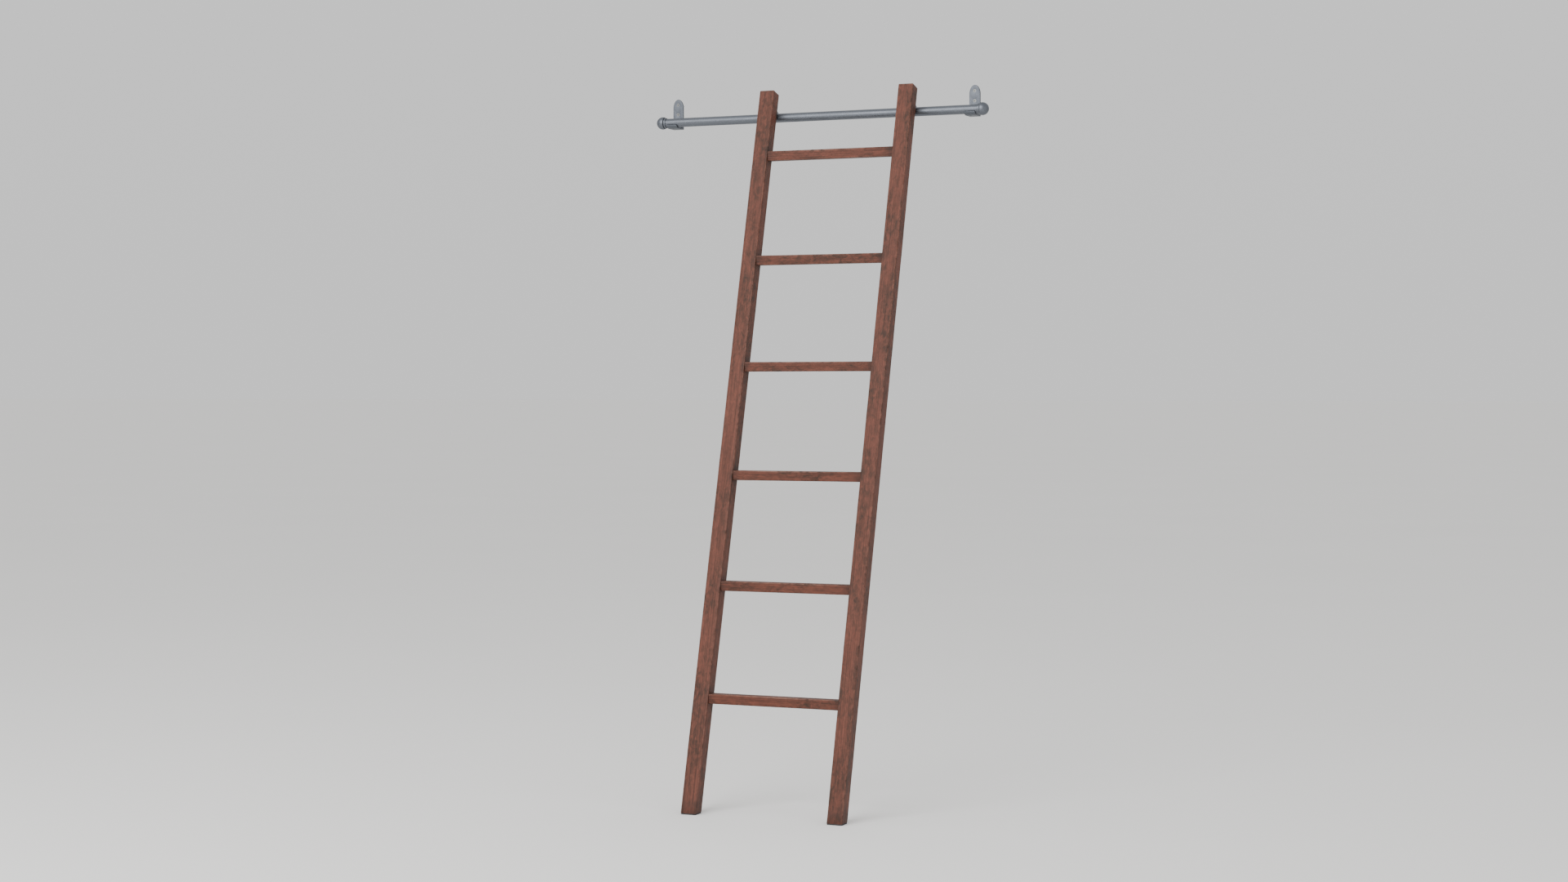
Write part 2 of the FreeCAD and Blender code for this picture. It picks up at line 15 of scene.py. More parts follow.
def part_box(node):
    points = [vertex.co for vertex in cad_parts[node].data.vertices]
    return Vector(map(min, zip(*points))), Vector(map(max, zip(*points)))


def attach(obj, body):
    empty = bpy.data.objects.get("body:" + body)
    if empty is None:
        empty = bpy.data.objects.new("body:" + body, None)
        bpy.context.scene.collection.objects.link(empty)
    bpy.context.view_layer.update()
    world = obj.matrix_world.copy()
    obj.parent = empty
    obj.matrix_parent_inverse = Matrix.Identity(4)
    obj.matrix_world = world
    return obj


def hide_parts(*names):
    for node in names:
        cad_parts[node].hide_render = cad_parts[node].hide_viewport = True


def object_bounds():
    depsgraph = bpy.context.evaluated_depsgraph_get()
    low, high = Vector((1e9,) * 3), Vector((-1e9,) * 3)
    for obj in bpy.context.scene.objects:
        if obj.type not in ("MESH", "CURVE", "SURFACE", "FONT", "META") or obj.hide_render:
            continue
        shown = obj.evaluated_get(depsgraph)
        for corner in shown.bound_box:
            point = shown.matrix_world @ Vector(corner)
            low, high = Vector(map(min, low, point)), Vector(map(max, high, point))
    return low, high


bl_info = {
    "name": "Library ladder",
    "version": (1, 0, 0),
    "blender": (4, 5, 0),
    "location": "3D View > Sidebar > Library ladder",
    "description": "Builds the visible pieces and finishes of a library ladder and its rail",
    "category": "Object",
}

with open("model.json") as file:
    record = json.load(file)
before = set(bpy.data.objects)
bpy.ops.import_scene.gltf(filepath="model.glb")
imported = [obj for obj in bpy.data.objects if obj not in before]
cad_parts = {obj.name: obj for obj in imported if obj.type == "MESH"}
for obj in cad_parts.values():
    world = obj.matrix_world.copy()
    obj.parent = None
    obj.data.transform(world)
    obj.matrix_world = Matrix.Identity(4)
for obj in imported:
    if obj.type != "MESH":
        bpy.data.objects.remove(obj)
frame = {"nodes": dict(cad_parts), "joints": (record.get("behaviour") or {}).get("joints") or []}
CAD_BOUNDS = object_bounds()

MM = 0.001
SIDES = ("left", "right")
RUNGS = [name for name in sorted(frame["nodes"]) if name.startswith("rung_")]
X_AXIS, Y_AXIS, Z_AXIS = Vector((1, 0, 0)), Vector((0, 1, 0)), Vector((0, 0, 1))


# ---------------------------------------------------------------- measures from the frame
def middle(node):
    """The middle of a node's box."""
    low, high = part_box(node)
    return (low + high) / 2


def reach(node, direction, only=None):
    """The least and the greatest distance along a direction of a node's points.

    only is a test that picks the points to measure.
    """
    points = [v.co for v in frame["nodes"][node].data.vertices if only is None or only(v.co)]
    distances = [point.dot(direction) for point in points]
    return min(distances), max(distances)


def ladder_axes():
    """The way up along the stiles, and the way from their front to their back."""
    up = (middle(RUNGS[-1]) - middle(RUNGS[0])).normalized()
    return up, Vector((0, up.z, -up.y))


UP_STILE, INTO_STILE = ladder_axes()
RUNGS_UP = [middle(rung).dot(UP_STILE) for rung in RUNGS]
RAIL_AXIS = middle("rail_tube")
RAIL_UP = RAIL_AXIS.dot(UP_STILE)
RAIL_RADIUS = (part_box("rail_tube")[1].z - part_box("rail_tube")[0].z) / 2


def joint(name):
    """One of the frame's joints, by its name."""
    return next(j for j in frame["joints"] if j["name"] == name)


# ---------------------------------------------------------------- sizes and colours to change
def linear(hex_colour):
    """The linear colour of an sRGB hex value."""
    channels = [int(hex_colour[i:i + 2], 16) / 255 for i in (0, 2, 4)]
    return tuple(c / 12.92 if c <= 0.04045 else ((c + 0.055) / 1.055) ** 2.4 for c in channels)


def colour_property(name, description, hex_colour):
    return bpy.props.FloatVectorProperty(name=name, description=description, subtype="COLOR", size=3,
                                         min=0.0, max=1.0, default=linear(hex_colour))


def length_property(name, description, millimetres):
    return bpy.props.FloatProperty(name=name, description=description, default=millimetres * MM,
                                   min=0.0, precision=5, subtype="DISTANCE", unit="LENGTH")


class WoodSettings(bpy.types.PropertyGroup):
    """Colours and wear of the wooden pieces."""

    heart: colour_property("Heartwood", "Main colour of the planed faces", "603628")
    flush: colour_property("Flush", "Redder, lighter parts of the figure", "7E4535")
    shade: colour_property("Shade", "Browner patches in the figure", "3C261A")
    late_wood: colour_property("Late wood", "Dark side of each growth ring", "2E1B13")
    pore: colour_property("Pore", "Open pores along the grain", "1C100B")
    worn: colour_property("Worn edge", "Arrises where the oil has rubbed off", "7C5647")
    # Soiling at the feet, and painted shade by the joints, on the stiles' backs by the rail and under the
    # rungs.
    grime_and_shade: colour_property("Grime", "Dirt by the joints and at the feet", "231813")
    stile_arris: length_property("Stile arris", "Rounding of the stiles' long edges", 2.6)
    rung_arris: length_property("Rung arris", "Rounding of the rungs' long edges", 2.0)
    unevenness: length_property("Unevenness", "How deep hand planing leaves the faces", 0.25)
    ring_width: length_property("Ring width", "Width of a growth ring", 4.5)


class MetalSettings(bpy.types.PropertyGroup):
    """Colours and finish of the metal pieces."""

    rail: colour_property("Rail", "Satin nickel on the tube and its ball ends", "6C7077")
    plate: colour_property("Plate", "Satin nickel on the brackets and hooks", "63676E")
    zinc: colour_property("Screws", "Zinc on the screws", "6B6E72")
    easing: length_property("Edge easing", "Rounding of the brackets' and hooks' cut edges", 0.6)
    thread_pitch: length_property("Thread pitch", "Pitch of the bracket screws' thread", 1.8)


class PlasticSettings(bpy.types.PropertyGroup):
    """Colours of the moulded pieces."""

    nylon: colour_property("Nylon", "Glide shoes on the rail", "75797F")
    rubber: colour_property("Rubber", "Pads under the stiles", "27272A")
    easing: length_property("Edge easing", "Rounding of the moulded edges", 0.35)


class StageSettings(bpy.types.PropertyGroup):
    """Floor, light and camera."""

    floor: colour_property("Floor", "Colour of the floor", "F2F1EF")
    floor_reach: bpy.props.FloatProperty(name="Floor reach", description="Half the floor's width",
                                         default=300.0, min=1.0, subtype="DISTANCE", unit="LENGTH")
    lens: bpy.props.FloatProperty(name="Lens", description="Focal length of the camera",
                                  default=58.0, min=10.0, subtype="DISTANCE_CAMERA", unit="CAMERA")
    key_power: bpy.props.FloatProperty(name="Key light", default=380.0, min=0.0, unit="POWER",
                                       description="Power of the large soft light in front")
    fill_power: bpy.props.FloatProperty(name="Fill light", default=12.0, min=0.0, unit="POWER",
                                        description="Power of the soft light at the right")
    sky: bpy.props.FloatProperty(name="Sky", description="Strength of the even light from all round",
                                 default=0.99, min=0.0)


# ---------------------------------------------------------------- materials
def add(tree, kind, inputs=None, **settings):
    """Adds a node: settings are its properties, and inputs are values, sockets or nodes.

    Inputs go by name or number, and a node stands for its first output in use.
    """
    node = tree.nodes.new(kind)
    for name, value in settings.items():
        setattr(node, name, value)
    for name, value in (inputs or {}).items():
        if isinstance(value, bpy.types.Node):
            value = next(socket for socket in value.outputs if socket.enabled)
        if isinstance(value, bpy.types.NodeSocket):
            tree.links.new(value, node.inputs[name])
        else:
            node.inputs[name].default_value = value
    return node


def new_material(name):
    """An empty material and its tree."""
    material = bpy.data.materials.new(name)
    material.use_nodes = True
    material.node_tree.nodes.clear()
    return material, material.node_tree


def rgba(colour):
    return (*colour[:3], 1.0)


def oiled_mahogany(wood):
    """Mahogany, planed and oiled: matt red-brown with darker patches, open pores and pale worn edges.

    It reads board_mm, a place across, through and along the board in millimetres, so the
    grain follows each piece, and the masks of wear and of soiling with painted shade.
    """
    material, tree = new_material("oiled_mahogany")
    board = add(tree, "ShaderNodeAttribute", attribute_name="board_mm")
    wear = add(tree, "ShaderNodeAttribute", attribute_name="wear")
    grime_and_shade = add(tree, "ShaderNodeAttribute", attribute_name="grime_and_shade")
    place = board.outputs["Vector"]

    # Patches about 45 mm wide and four times as long.
    patch_place = add(tree, "ShaderNodeVectorMath", {0: place, 1: (1.0, 1.0, 0.25)}, operation="MULTIPLY")
    patches = add(tree, "ShaderNodeTexNoise", {"Vector": patch_place, "Scale": 1 / 45, "Detail": 4.0,
                                               "Roughness": 0.62, "Distortion": 0.4})
    patch_share = add(tree, "ShaderNodeMapRange",
                      {"Value": patches.outputs["Fac"], "From Min": 0.42, "From Max": 0.58})
    # Mottle about 9 mm wide, short along the board, as figured mahogany has.
    mottle_place = add(tree, "ShaderNodeVectorMath", {0: place, 1: (1.0, 1.0, 0.5)}, operation="MULTIPLY")
    mottle = add(tree, "ShaderNodeTexNoise", {"Vector": mottle_place, "Scale": 1 / 9, "Detail": 3.0,
                                              "Roughness": 0.6, "Distortion": 0.8})
    mottle_share = add(tree, "ShaderNodeMapRange",
                       {"Value": mottle.outputs["Fac"], "From Min": 0.35, "From Max": 0.68})
    # Growth rings about a pith outside the board. A wave's period is 0.314 over its scale.
    pith = add(tree, "ShaderNodeVectorMath", {0: place, 1: (70.0, -110.0, 0.0)}, operation="ADD")
    ring_place = add(tree, "ShaderNodeVectorMath", {0: pith, 1: (1.0, 1.0, 0.03)}, operation="MULTIPLY")
    rings = add(tree, "ShaderNodeTexWave", {"Vector": ring_place, "Scale": 0.314 * MM / wood.ring_width,
                                            "Distortion": 5.0, "Detail": 3.0, "Detail Scale": 0.5,
                                            "Detail Roughness": 0.6}, wave_type="RINGS",
                rings_direction="Z", wave_profile="SAW")
    # Streaks of fibre 3 mm wide, drawn coarser than real ones so that they show from across a room.
    fibre_place = add(tree, "ShaderNodeVectorMath",
                      {0: place, 1: (1.0, 1.0, 0.022)}, operation="MULTIPLY")
    streaks = add(tree, "ShaderNodeTexNoise",
                  {"Vector": fibre_place, "Scale": 1 / 3, "Detail": 5.0, "Roughness": 0.7})
    # Pores 0.5 mm wide and 10 mm long.
    pore_place = add(tree, "ShaderNodeVectorMath", {0: place, 1: (1.0, 1.0, 0.05)}, operation="MULTIPLY")
    pores = add(tree, "ShaderNodeTexNoise",
                {"Vector": pore_place, "Scale": 1 / 0.5, "Detail": 2.0, "Roughness": 0.5})
    pore_share = add(tree, "ShaderNodeMapRange",
                     {"Value": pores.outputs["Fac"], "From Min": 0.6, "From Max": 0.72})

    body = add(tree, "ShaderNodeMix",
               {0: patch_share, 6: rgba(wood.shade), 7: rgba(wood.heart)}, data_type="RGBA")
    flushed = add(tree, "ShaderNodeMix",
                  {0: mottle_share, 6: body, 7: rgba(wood.flush)}, data_type="RGBA")
    figured = add(tree, "ShaderNodeMix", {0: 0.7, 6: body, 7: flushed}, data_type="RGBA")
    ring_share = add(tree, "ShaderNodeMath", {0: rings.outputs["Fac"], 1: 0.3}, operation="MULTIPLY")
    ringed = add(tree, "ShaderNodeMix",
                 {0: ring_share, 6: figured, 7: rgba(wood.late_wood)}, data_type="RGBA")
    streak_share = add(tree, "ShaderNodeMapRange", {"Value": streaks.outputs["Fac"], "From Min": 0.42,
                                                    "From Max": 0.72, "To Max": 0.7})
    streaked = add(tree, "ShaderNodeMix",
                   {0: streak_share, 6: ringed, 7: rgba(wood.late_wood)}, data_type="RGBA")
    pore_depth = add(tree, "ShaderNodeMath", {0: pore_share, 1: 0.6}, operation="MULTIPLY")
    pored = add(tree, "ShaderNodeMix", {0: pore_depth, 6: streaked, 7: rgba(wood.pore)}, data_type="RGBA")
    # The wear breaks up with the mottle, so that an arris isn't an even line.
    rubbed = add(tree, "ShaderNodeMath", {0: wear.outputs["Fac"], 1: mottle_share}, operation="MULTIPLY")
    rubbed_share = add(tree, "ShaderNodeMath", {0: rubbed, 1: 0.75}, operation="MULTIPLY", use_clamp=True)
    worn = add(tree, "ShaderNodeMix", {0: rubbed_share, 6: pored, 7: rgba(wood.worn)}, data_type="RGBA")
    # Soiling at the feet and painted shade in the corners by the rungs, by the rail and under the rungs, broken
    # up by the streaks.
    dirt_and_shade = add(tree, "ShaderNodeMath",
               {0: grime_and_shade.outputs["Fac"], 1: streaks.outputs["Fac"]}, operation="MULTIPLY")
    dirtied_and_shaded = add(tree, "ShaderNodeMix", {0: dirt_and_shade, 6: worn, 7: rgba(wood.grime_and_shade)}, data_type="RGBA")

    sheen = add(tree, "ShaderNodeMapRange",
                {"Value": streaks.outputs["Fac"], "To Min": 0.5, "To Max": 0.72})
    rough = add(tree, "ShaderNodeMath", {0: sheen, 1: rubbed_share}, operation="SUBTRACT")
    rough_held = add(tree, "ShaderNodeMath", {0: rough, 1: 0.42}, operation="MAXIMUM")
    relief = add(tree, "ShaderNodeMath",
                 {0: streaks.outputs["Fac"], 1: 0.6, 2: rings.outputs["Fac"]}, operation="MULTIPLY_ADD")
    cut = add(tree, "ShaderNodeMath", {0: relief, 1: pore_share}, operation="SUBTRACT")
    bump = add(tree, "ShaderNodeBump", {"Height": cut, "Strength": 0.35, "Distance": 0.25 * MM})
    shader = add(tree, "ShaderNodeBsdfPrincipled", {"Base Color": dirtied_and_shaded, "Roughness": rough_held,
                                                    "Normal": bump, "IOR": 1.48,
                                                    "Specular IOR Level": 0.32})
    add(tree, "ShaderNodeOutputMaterial", {"Surface": shader})
    return material


def satin_steel(name, colour, brushed_along, roughness=0.4):
    """Nickel-plated steel, brushed and lacquered: a soft blue-grey shine with fine brushed lines.

    brushed_along is the way that the lines run, 0 for X, 1 for Y and 2 for Z. Where the mask
    of the rubbed track is set, the shine is clearer, and the colour is lighter as a painted highlight.
    """
    material, tree = new_material(name)
    place = add(tree, "ShaderNodeTexCoord").outputs["Object"]
    line_scale = [1.0, 1.0, 1.0]
    line_scale[brushed_along] = 0.012
    line_place = add(tree, "ShaderNodeVectorMath", {0: place, 1: line_scale}, operation="MULTIPLY")
    # Brushed lines 0.5 mm apart: real ones are five times finer and would not show.
    lines = add(tree, "ShaderNodeTexNoise",
                {"Vector": line_place, "Scale": 1 / (0.5 * MM), "Detail": 3.0, "Roughness": 0.6})
    # Smears and cloudy lacquer, about 40 mm across.
    smears = add(tree, "ShaderNodeTexNoise", {"Vector": place, "Scale": 1 / (40 * MM), "Detail": 4.0,
                                              "Roughness": 0.6, "Distortion": 0.6})
    # Specks where the lacquer has pitted, 1.5 mm apart.
    pits = add(tree, "ShaderNodeTexNoise", {"Vector": place, "Scale": 1 / (1.5 * MM), "Detail": 1.0})
    pit_share = add(tree, "ShaderNodeMapRange",
                    {"Value": pits.outputs["Fac"], "From Min": 0.7, "From Max": 0.76, "To Max": 0.5})
    polish_and_highlight = add(tree, "ShaderNodeAttribute", attribute_name="polish_and_highlight")
    dark = tuple(c * 0.72 for c in colour[:3])
    # The lighter colour is a painted highlight along the top of the tube.
    bright = tuple(min(1.0, c * 1.18) for c in colour[:3])
    cloud_share = add(tree, "ShaderNodeMapRange",
                      {"Value": smears.outputs["Fac"], "From Min": 0.3, "From Max": 0.7})
    cloudy = add(tree, "ShaderNodeMix", {0: cloud_share, 6: rgba([c * 0.9 for c in colour[:3]]),
                                         7: rgba(colour)}, data_type="RGBA")
    line_share = add(tree, "ShaderNodeMapRange",
                     {"Value": lines.outputs["Fac"], "From Min": 0.35, "From Max": 0.65, "To Max": 0.22})
    lined = add(tree, "ShaderNodeMix", {0: line_share, 6: cloudy, 7: rgba(dark)}, data_type="RGBA")
    pitted = add(tree, "ShaderNodeMix", {0: pit_share, 6: lined, 7: rgba(dark)}, data_type="RGBA")
    # Painted highlight: the colour is lighter where the rubbed track's mask is set.
    polished_and_highlighted = add(tree, "ShaderNodeMix",
                   {0: polish_and_highlight.outputs["Fac"], 6: pitted, 7: rgba(bright)}, data_type="RGBA")
    rough = add(tree, "ShaderNodeMapRange", {"Value": smears.outputs["Fac"], "From Min": 0.3,
                                             "From Max": 0.7, "To Min": roughness - 0.05,
                                             "To Max": roughness + 0.09})
    lined_rough = add(tree, "ShaderNodeMath",
                      {0: lines.outputs["Fac"], 1: 0.12, 2: rough}, operation="MULTIPLY_ADD")
    smooth = add(tree, "ShaderNodeMath",
                 {0: polish_and_highlight.outputs["Fac"], 1: -0.14, 2: lined_rough}, operation="MULTIPLY_ADD")
    bump = add(tree, "ShaderNodeBump",
               {"Height": lines.outputs["Fac"], "Strength": 0.07, "Distance": 0.05 * MM})
    shader = add(tree, "ShaderNodeBsdfPrincipled",
                 {"Base Color": polished_and_highlighted, "Roughness": smooth, "Normal": bump, "Metallic": 1.0})
    add(tree, "ShaderNodeOutputMaterial", {"Surface": shader})
    return material


def bright_zinc(metal):
    """Zinc-plated steel screws: a cool bright grey with a faint yellow and blue bloom and dull slots."""
    material, tree = new_material("bright_zinc")
    place = add(tree, "ShaderNodeTexCoord").outputs["Object"]
    bloom = add(tree, "ShaderNodeTexNoise", {"Vector": place, "Scale": 1 / (3 * MM), "Detail": 2.0})
    grit = add(tree, "ShaderNodeTexNoise", {"Vector": place, "Scale": 1 / (0.3 * MM), "Detail": 2.0})
    warm = tuple(c * k for c, k in zip(metal.zinc[:3], (1.05, 0.99, 0.84)))
    tint_share = add(tree, "ShaderNodeMapRange",
                     {"Value": bloom.outputs["Fac"], "From Min": 0.35, "From Max": 0.65})
    tinted = add(tree, "ShaderNodeMix",
                 {0: tint_share, 6: rgba(metal.zinc), 7: rgba(warm)}, data_type="RGBA")
    rough = add(tree, "ShaderNodeMapRange", {"Value": grit.outputs["Fac"], "To Min": 0.24, "To Max": 0.5})
    bump = add(tree, "ShaderNodeBump",
               {"Height": grit.outputs["Fac"], "Strength": 0.2, "Distance": 0.03 * MM})
    shader = add(tree, "ShaderNodeBsdfPrincipled",
                 {"Base Color": tinted, "Roughness": rough, "Normal": bump, "Metallic": 1.0})
    add(tree, "ShaderNodeOutputMaterial", {"Surface": shader})
    return material


def moulded(name, colour, dust, roughness, grain_mm):
    """A moulded plastic or rubber: an even dark colour, a fine spark-eroded grain and a little dust."""
    material, tree = new_material(name)
    place = add(tree, "ShaderNodeTexCoord").outputs["Object"]
    grain = add(tree, "ShaderNodeTexNoise",
                {"Vector": place, "Scale": 1 / (grain_mm * MM), "Detail": 3.0, "Roughness": 0.65})
    dusting = add(tree, "ShaderNodeTexNoise",
                  {"Vector": place, "Scale": 1 / (7 * MM), "Detail": 5.0, "Roughness": 0.7})
    dust_share = add(tree, "ShaderNodeMapRange",
                     {"Value": dusting.outputs["Fac"], "From Min": 0.45, "From Max": 0.8, "To Max": 0.5})
    base = add(tree, "ShaderNodeMix", {0: dust_share, 6: rgba(colour), 7: rgba(dust)}, data_type="RGBA")
    rough = add(tree, "ShaderNodeMapRange",
                {"Value": dusting.outputs["Fac"], "To Min": roughness - 0.08, "To Max": roughness + 0.14})
    bump = add(tree, "ShaderNodeBump",
               {"Height": grain.outputs["Fac"], "Strength": 0.3, "Distance": 0.08 * MM})
    shader = add(tree, "ShaderNodeBsdfPrincipled",
                 {"Base Color": base, "Roughness": rough, "Normal": bump, "IOR": 1.52})
    add(tree, "ShaderNodeOutputMaterial", {"Surface": shader})
    return material


def matt_floor(stage):
    """A painted studio floor: pale, matt and very slightly uneven."""
    material, tree = new_material("matt_floor_paint")
    place = add(tree, "ShaderNodeTexCoord").outputs["Object"]
    cloud = add(tree, "ShaderNodeTexNoise", {"Vector": place, "Scale": 0.6, "Detail": 3.0})
    tone = tuple(c * 0.965 for c in stage.floor[:3])
    base = add(tree, "ShaderNodeMix",
               {0: cloud.outputs["Fac"], 6: rgba(tone), 7: rgba(stage.floor)}, data_type="RGBA")
    shader = add(tree, "ShaderNodeBsdfPrincipled",
                 {"Base Color": base, "Roughness": 0.85, "Specular IOR Level": 0.2})
    add(tree, "ShaderNodeOutputMaterial", {"Surface": shader})
    return material


def material_of(name, make, *settings):
    """The material of that name, made the first time that it is asked for."""
    return bpy.data.materials.get(name) or make(*settings)


def rail_finish(scene):
    return material_of("satin_nickel_tube", satin_steel, "satin_nickel_tube", scene.ladder_metal.rail, 0)


def plate_finish(scene):
    return material_of("satin_nickel_plate", satin_steel, "satin_nickel_plate", scene.ladder_metal.plate, 2,
                       0.42)


# ---------------------------------------------------------------- meshes
SHARP_DEG = 32.0
# Points nearer than this are one point of a CAD mesh.
WELD = 0.002 * MM


def to_object(bm, name, material):
    """Turns a bmesh into an object with smooth faces and sharp creases."""
    bmesh.ops.recalc_face_normals(bm, faces=bm.faces)
    for edge in bm.edges:
        if len(edge.link_faces) == 2 and edge.calc_face_angle(0) > math.radians(SHARP_DEG):
            edge.smooth = False
    for face in bm.faces:
        face.smooth = True
    mesh = bpy.data.meshes.new(name)
    bm.to_mesh(mesh)
    bm.free()
    mesh.materials.append(material)
    piece = bpy.data.objects.new(name, mesh)
    bpy.context.scene.collection.objects.link(piece)
    return piece


def bridge(bm, ring, following):
    """Joins two rings of vertices, where a ring of one vertex is a point on the axis."""
    count = max(len(ring), len(following))
    for i in range(count):
        j = (i + 1) % count
        corners = [ring[i % len(ring)], ring[j % len(ring)],
                   following[j % len(following)], following[i % len(following)]]
        bm.faces.new(list(dict.fromkeys(corners)))


def skin(bm, rings):
    """Joins each ring of vertices to the next."""
    for ring, following in zip(rings, rings[1:]):
        bridge(bm, ring, following)


def turned(name, outline, origin, axis, across, material, segments=72, closed=False, mask=None):
    """A piece turned on a lathe: outline is a list of distances along the axis and radii.

    mask gives, from its place, how far a point is on the rubbed track that also carries a painted highlight.
    """
    bm = bmesh.new()
    polish_and_highlight = bm.verts.layers.float.new("polish_and_highlight")
    other = axis.cross(across)
    rings = []
    for along, radius in outline:
        steps = segments if radius > 0 else 1
        ring = []
        for i in range(steps):
            angle = 2 * math.pi * i / steps
            spoke = across * math.cos(angle) + other * math.sin(angle)
            vertex = bm.verts.new(origin + axis * along + spoke * radius)
            vertex[polish_and_highlight] = mask(vertex.co) if mask else 0.0
            ring.append(vertex)
        rings.append(ring)
    skin(bm, rings)
    if closed:
        bridge(bm, rings[-1], rings[0])
    return to_object(bm, name, material)


def quarter(along, radius, size, start, steps=6):
    """Points of a rounded rim: a quarter circle of that size whose middle is at (along, radius)."""
    angles = [start + math.pi / 2 * i / steps for i in range(steps + 1)]
    return [(along - size * math.cos(a), radius + size * math.sin(a)) for a in angles]


ARRIS_STEPS = 6
FACE_STEPS = 4
# Width in millimetres of the waves that planing leaves.
PLANING_WAVE = 20.647415


def board_section(width, depth, radii):
    """Points round a board's section from its middle, each with how far it is onto an arris.

    radii are the roundings of the four arrises, in turn from the one at +width and +depth.
    """
    points = []
    signs = ((1, 1), (-1, 1), (-1, -1), (1, -1))
    for corner, (sx, sy) in enumerate(signs):
        radius = radii[corner]
        centre = (sx * (width / 2 - radius), sy * (depth / 2 - radius))
        for step in range(ARRIS_STEPS + 1):
            angle = math.pi / 2 * (corner + step / ARRIS_STEPS)
            onto = math.sin(math.pi * step / ARRIS_STEPS)
            points.append((centre[0] + radius * math.cos(angle),
                           centre[1] + radius * math.sin(angle), onto))
        ex, ey = signs[(corner + 1) % 4]
        next_radius = radii[(corner + 1) % 4]
        end_angle = math.pi / 2 * (corner + 1)
        start = points[-1]
        end = (ex * (width / 2 - next_radius) + next_radius * math.cos(end_angle),
               ey * (depth / 2 - next_radius) + next_radius * math.sin(end_angle))
        for step in range(1, FACE_STEPS):
            share = step / FACE_STEPS
            points.append((start[0] + (end[0] - start[0]) * share,
                           start[1] + (end[1] - start[1]) * share, 0.0))
    return points


def cut_place(number):
    """Where in the tree a board comes from, in millimetres. No two boards come from one place."""
    return Vector((37.0 * number, 61.0 * number, 431.0 * number + 5.0))


def board_layers(bm):
    """The layers that the wood reads: place in the tree in millimetres, wear, and soiling with painted shade.
    """
    layers = bm.verts.layers
    return layers.float_vector.new("board_mm"), layers.float.new("wear"), layers.float.new("grime_and_shade")


def sawn_board(name, number, axes, origin, sections, unevenness, dirt_and_shade, material):
    """A board lofted through sections, with its place, wear, and soiling with painted shade on each vertex.

    axes are the ways across, through and along the board. Each section is a distance along
    the board, or a function that gives it from the place through the board, then the points
    of board_section and how much of the wear shows there. The argument after unevenness gives the soiling and
    painted shade of a place.
    """
    across, through, along = axes
    bm = bmesh.new()
    place_layer, wear_layer, grime_and_shade_layer = board_layers(bm)
    cut_from = cut_place(number)
    rings = []
    for distance, points, worn in sections:
        ring = []
        for a, t, onto in points:
            s = distance(t) if callable(distance) else distance
            place = Vector((a, t, s)) / MM + cut_from
            hollow = unevenness * (0.5 + 0.5 * noise.noise(place * (1 / PLANING_WAVE)))
            size = max(math.hypot(a, t), 1e-6)
            shrink = 1 - hollow / size
            vertex = bm.verts.new(origin + across * (a * shrink) + through * (t * shrink) + along * s)
            vertex[place_layer] = place
            vertex[wear_layer] = onto * worn
            vertex[grime_and_shade_layer] = dirt_and_shade(a, t, s)
            ring.append(vertex)
        rings.append(ring)
    skin(bm, rings)
    bm.faces.new(rings[0])
    bm.faces.new(rings[-1])
    return to_object(bm, name, material)


JOINT_CLEARANCE = 0.08 * MM
TENON_ARRIS = 0.4 * MM


def swollen_copy(node):
    """A tool of a CAD piece's shape, larger by the joints' clearance all round."""
    bm = bmesh.new()
    bm.from_mesh(frame["nodes"][node].data)
    bmesh.ops.remove_doubles(bm, verts=bm.verts, dist=WELD)
    bm.normal_update()
    for vertex, normal in [(v, v.normal.copy()) for v in bm.verts]:
        vertex.co += normal * JOINT_CLEARANCE
    return to_object(bm, "tool", None)


def cut_joints(piece, tools, number, axes, origin, dirt_and_shade):
    """Cuts joints in a board, and gives the new points their place, and their soiling with painted shade."""
    cut_away(piece, tools)
    across, through, along = axes
    layers = piece.data.attributes
    for i, vertex in enumerate(piece.data.vertices):
        if layers["board_mm"].data[i].vector.length > 0:
            continue
        offset = vertex.co - origin
        a, t, s = offset.dot(across), offset.dot(through), offset.dot(along)
        layers["board_mm"].data[i].vector = Vector((a, t, s)) / MM + cut_place(number)
        layers["grime_and_shade"].data[i].value = dirt_and_shade(a, t, s)


def left_tenon(rung):
    """The bottom, top, front and back of a rung's left tenon."""
    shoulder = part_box("left_stile")[1].x
    sides = [reach(rung, axis, lambda p: p.x < shoulder - 0.5 * MM) for axis in (Z_AXIS, Y_AXIS)]
    return (*sides[0], *sides[1])


def uneven_radii(radius, number, distance):
    """The four arrises' roundings at a distance along a board: knocks and rubbing make them uneven."""
    radii = []
    for corner in range(4):
        seed = Vector((corner * 9.1, number * 5.3, distance / 0.06))
        long_wear = noise.noise(Vector((corner * 3.7, number * 2.9, distance / 0.35)))
        radii.append(radius * (1.0 + 0.28 * noise.noise(seed) + 0.25 * long_wear))
    return radii


def eased_copy(node, width, name, material):
    """A copy of a CAD piece's shape with its cut edges eased, as filing or a mould leaves them."""
    bm = bmesh.new()
    bm.from_mesh(frame["nodes"][node].data)
    bmesh.ops.remove_doubles(bm, verts=bm.verts, dist=WELD)
    flat = math.radians(0.5)
    bmesh.ops.dissolve_limit(bm, angle_limit=flat, verts=bm.verts, edges=bm.edges)
    cut = [e for e in bm.edges if len(e.link_faces) == 2 and e.calc_face_angle(0) > math.radians(SHARP_DEG)]
    bmesh.ops.bevel(bm, geom=cut, offset=width, offset_type="OFFSET", segments=3, profile=0.5,
                    affect="EDGES", clamp_overlap=True)
    bmesh.ops.triangulate(bm, faces=[f for f in bm.faces if len(f.verts) > 4])
    return to_object(bm, name, material)


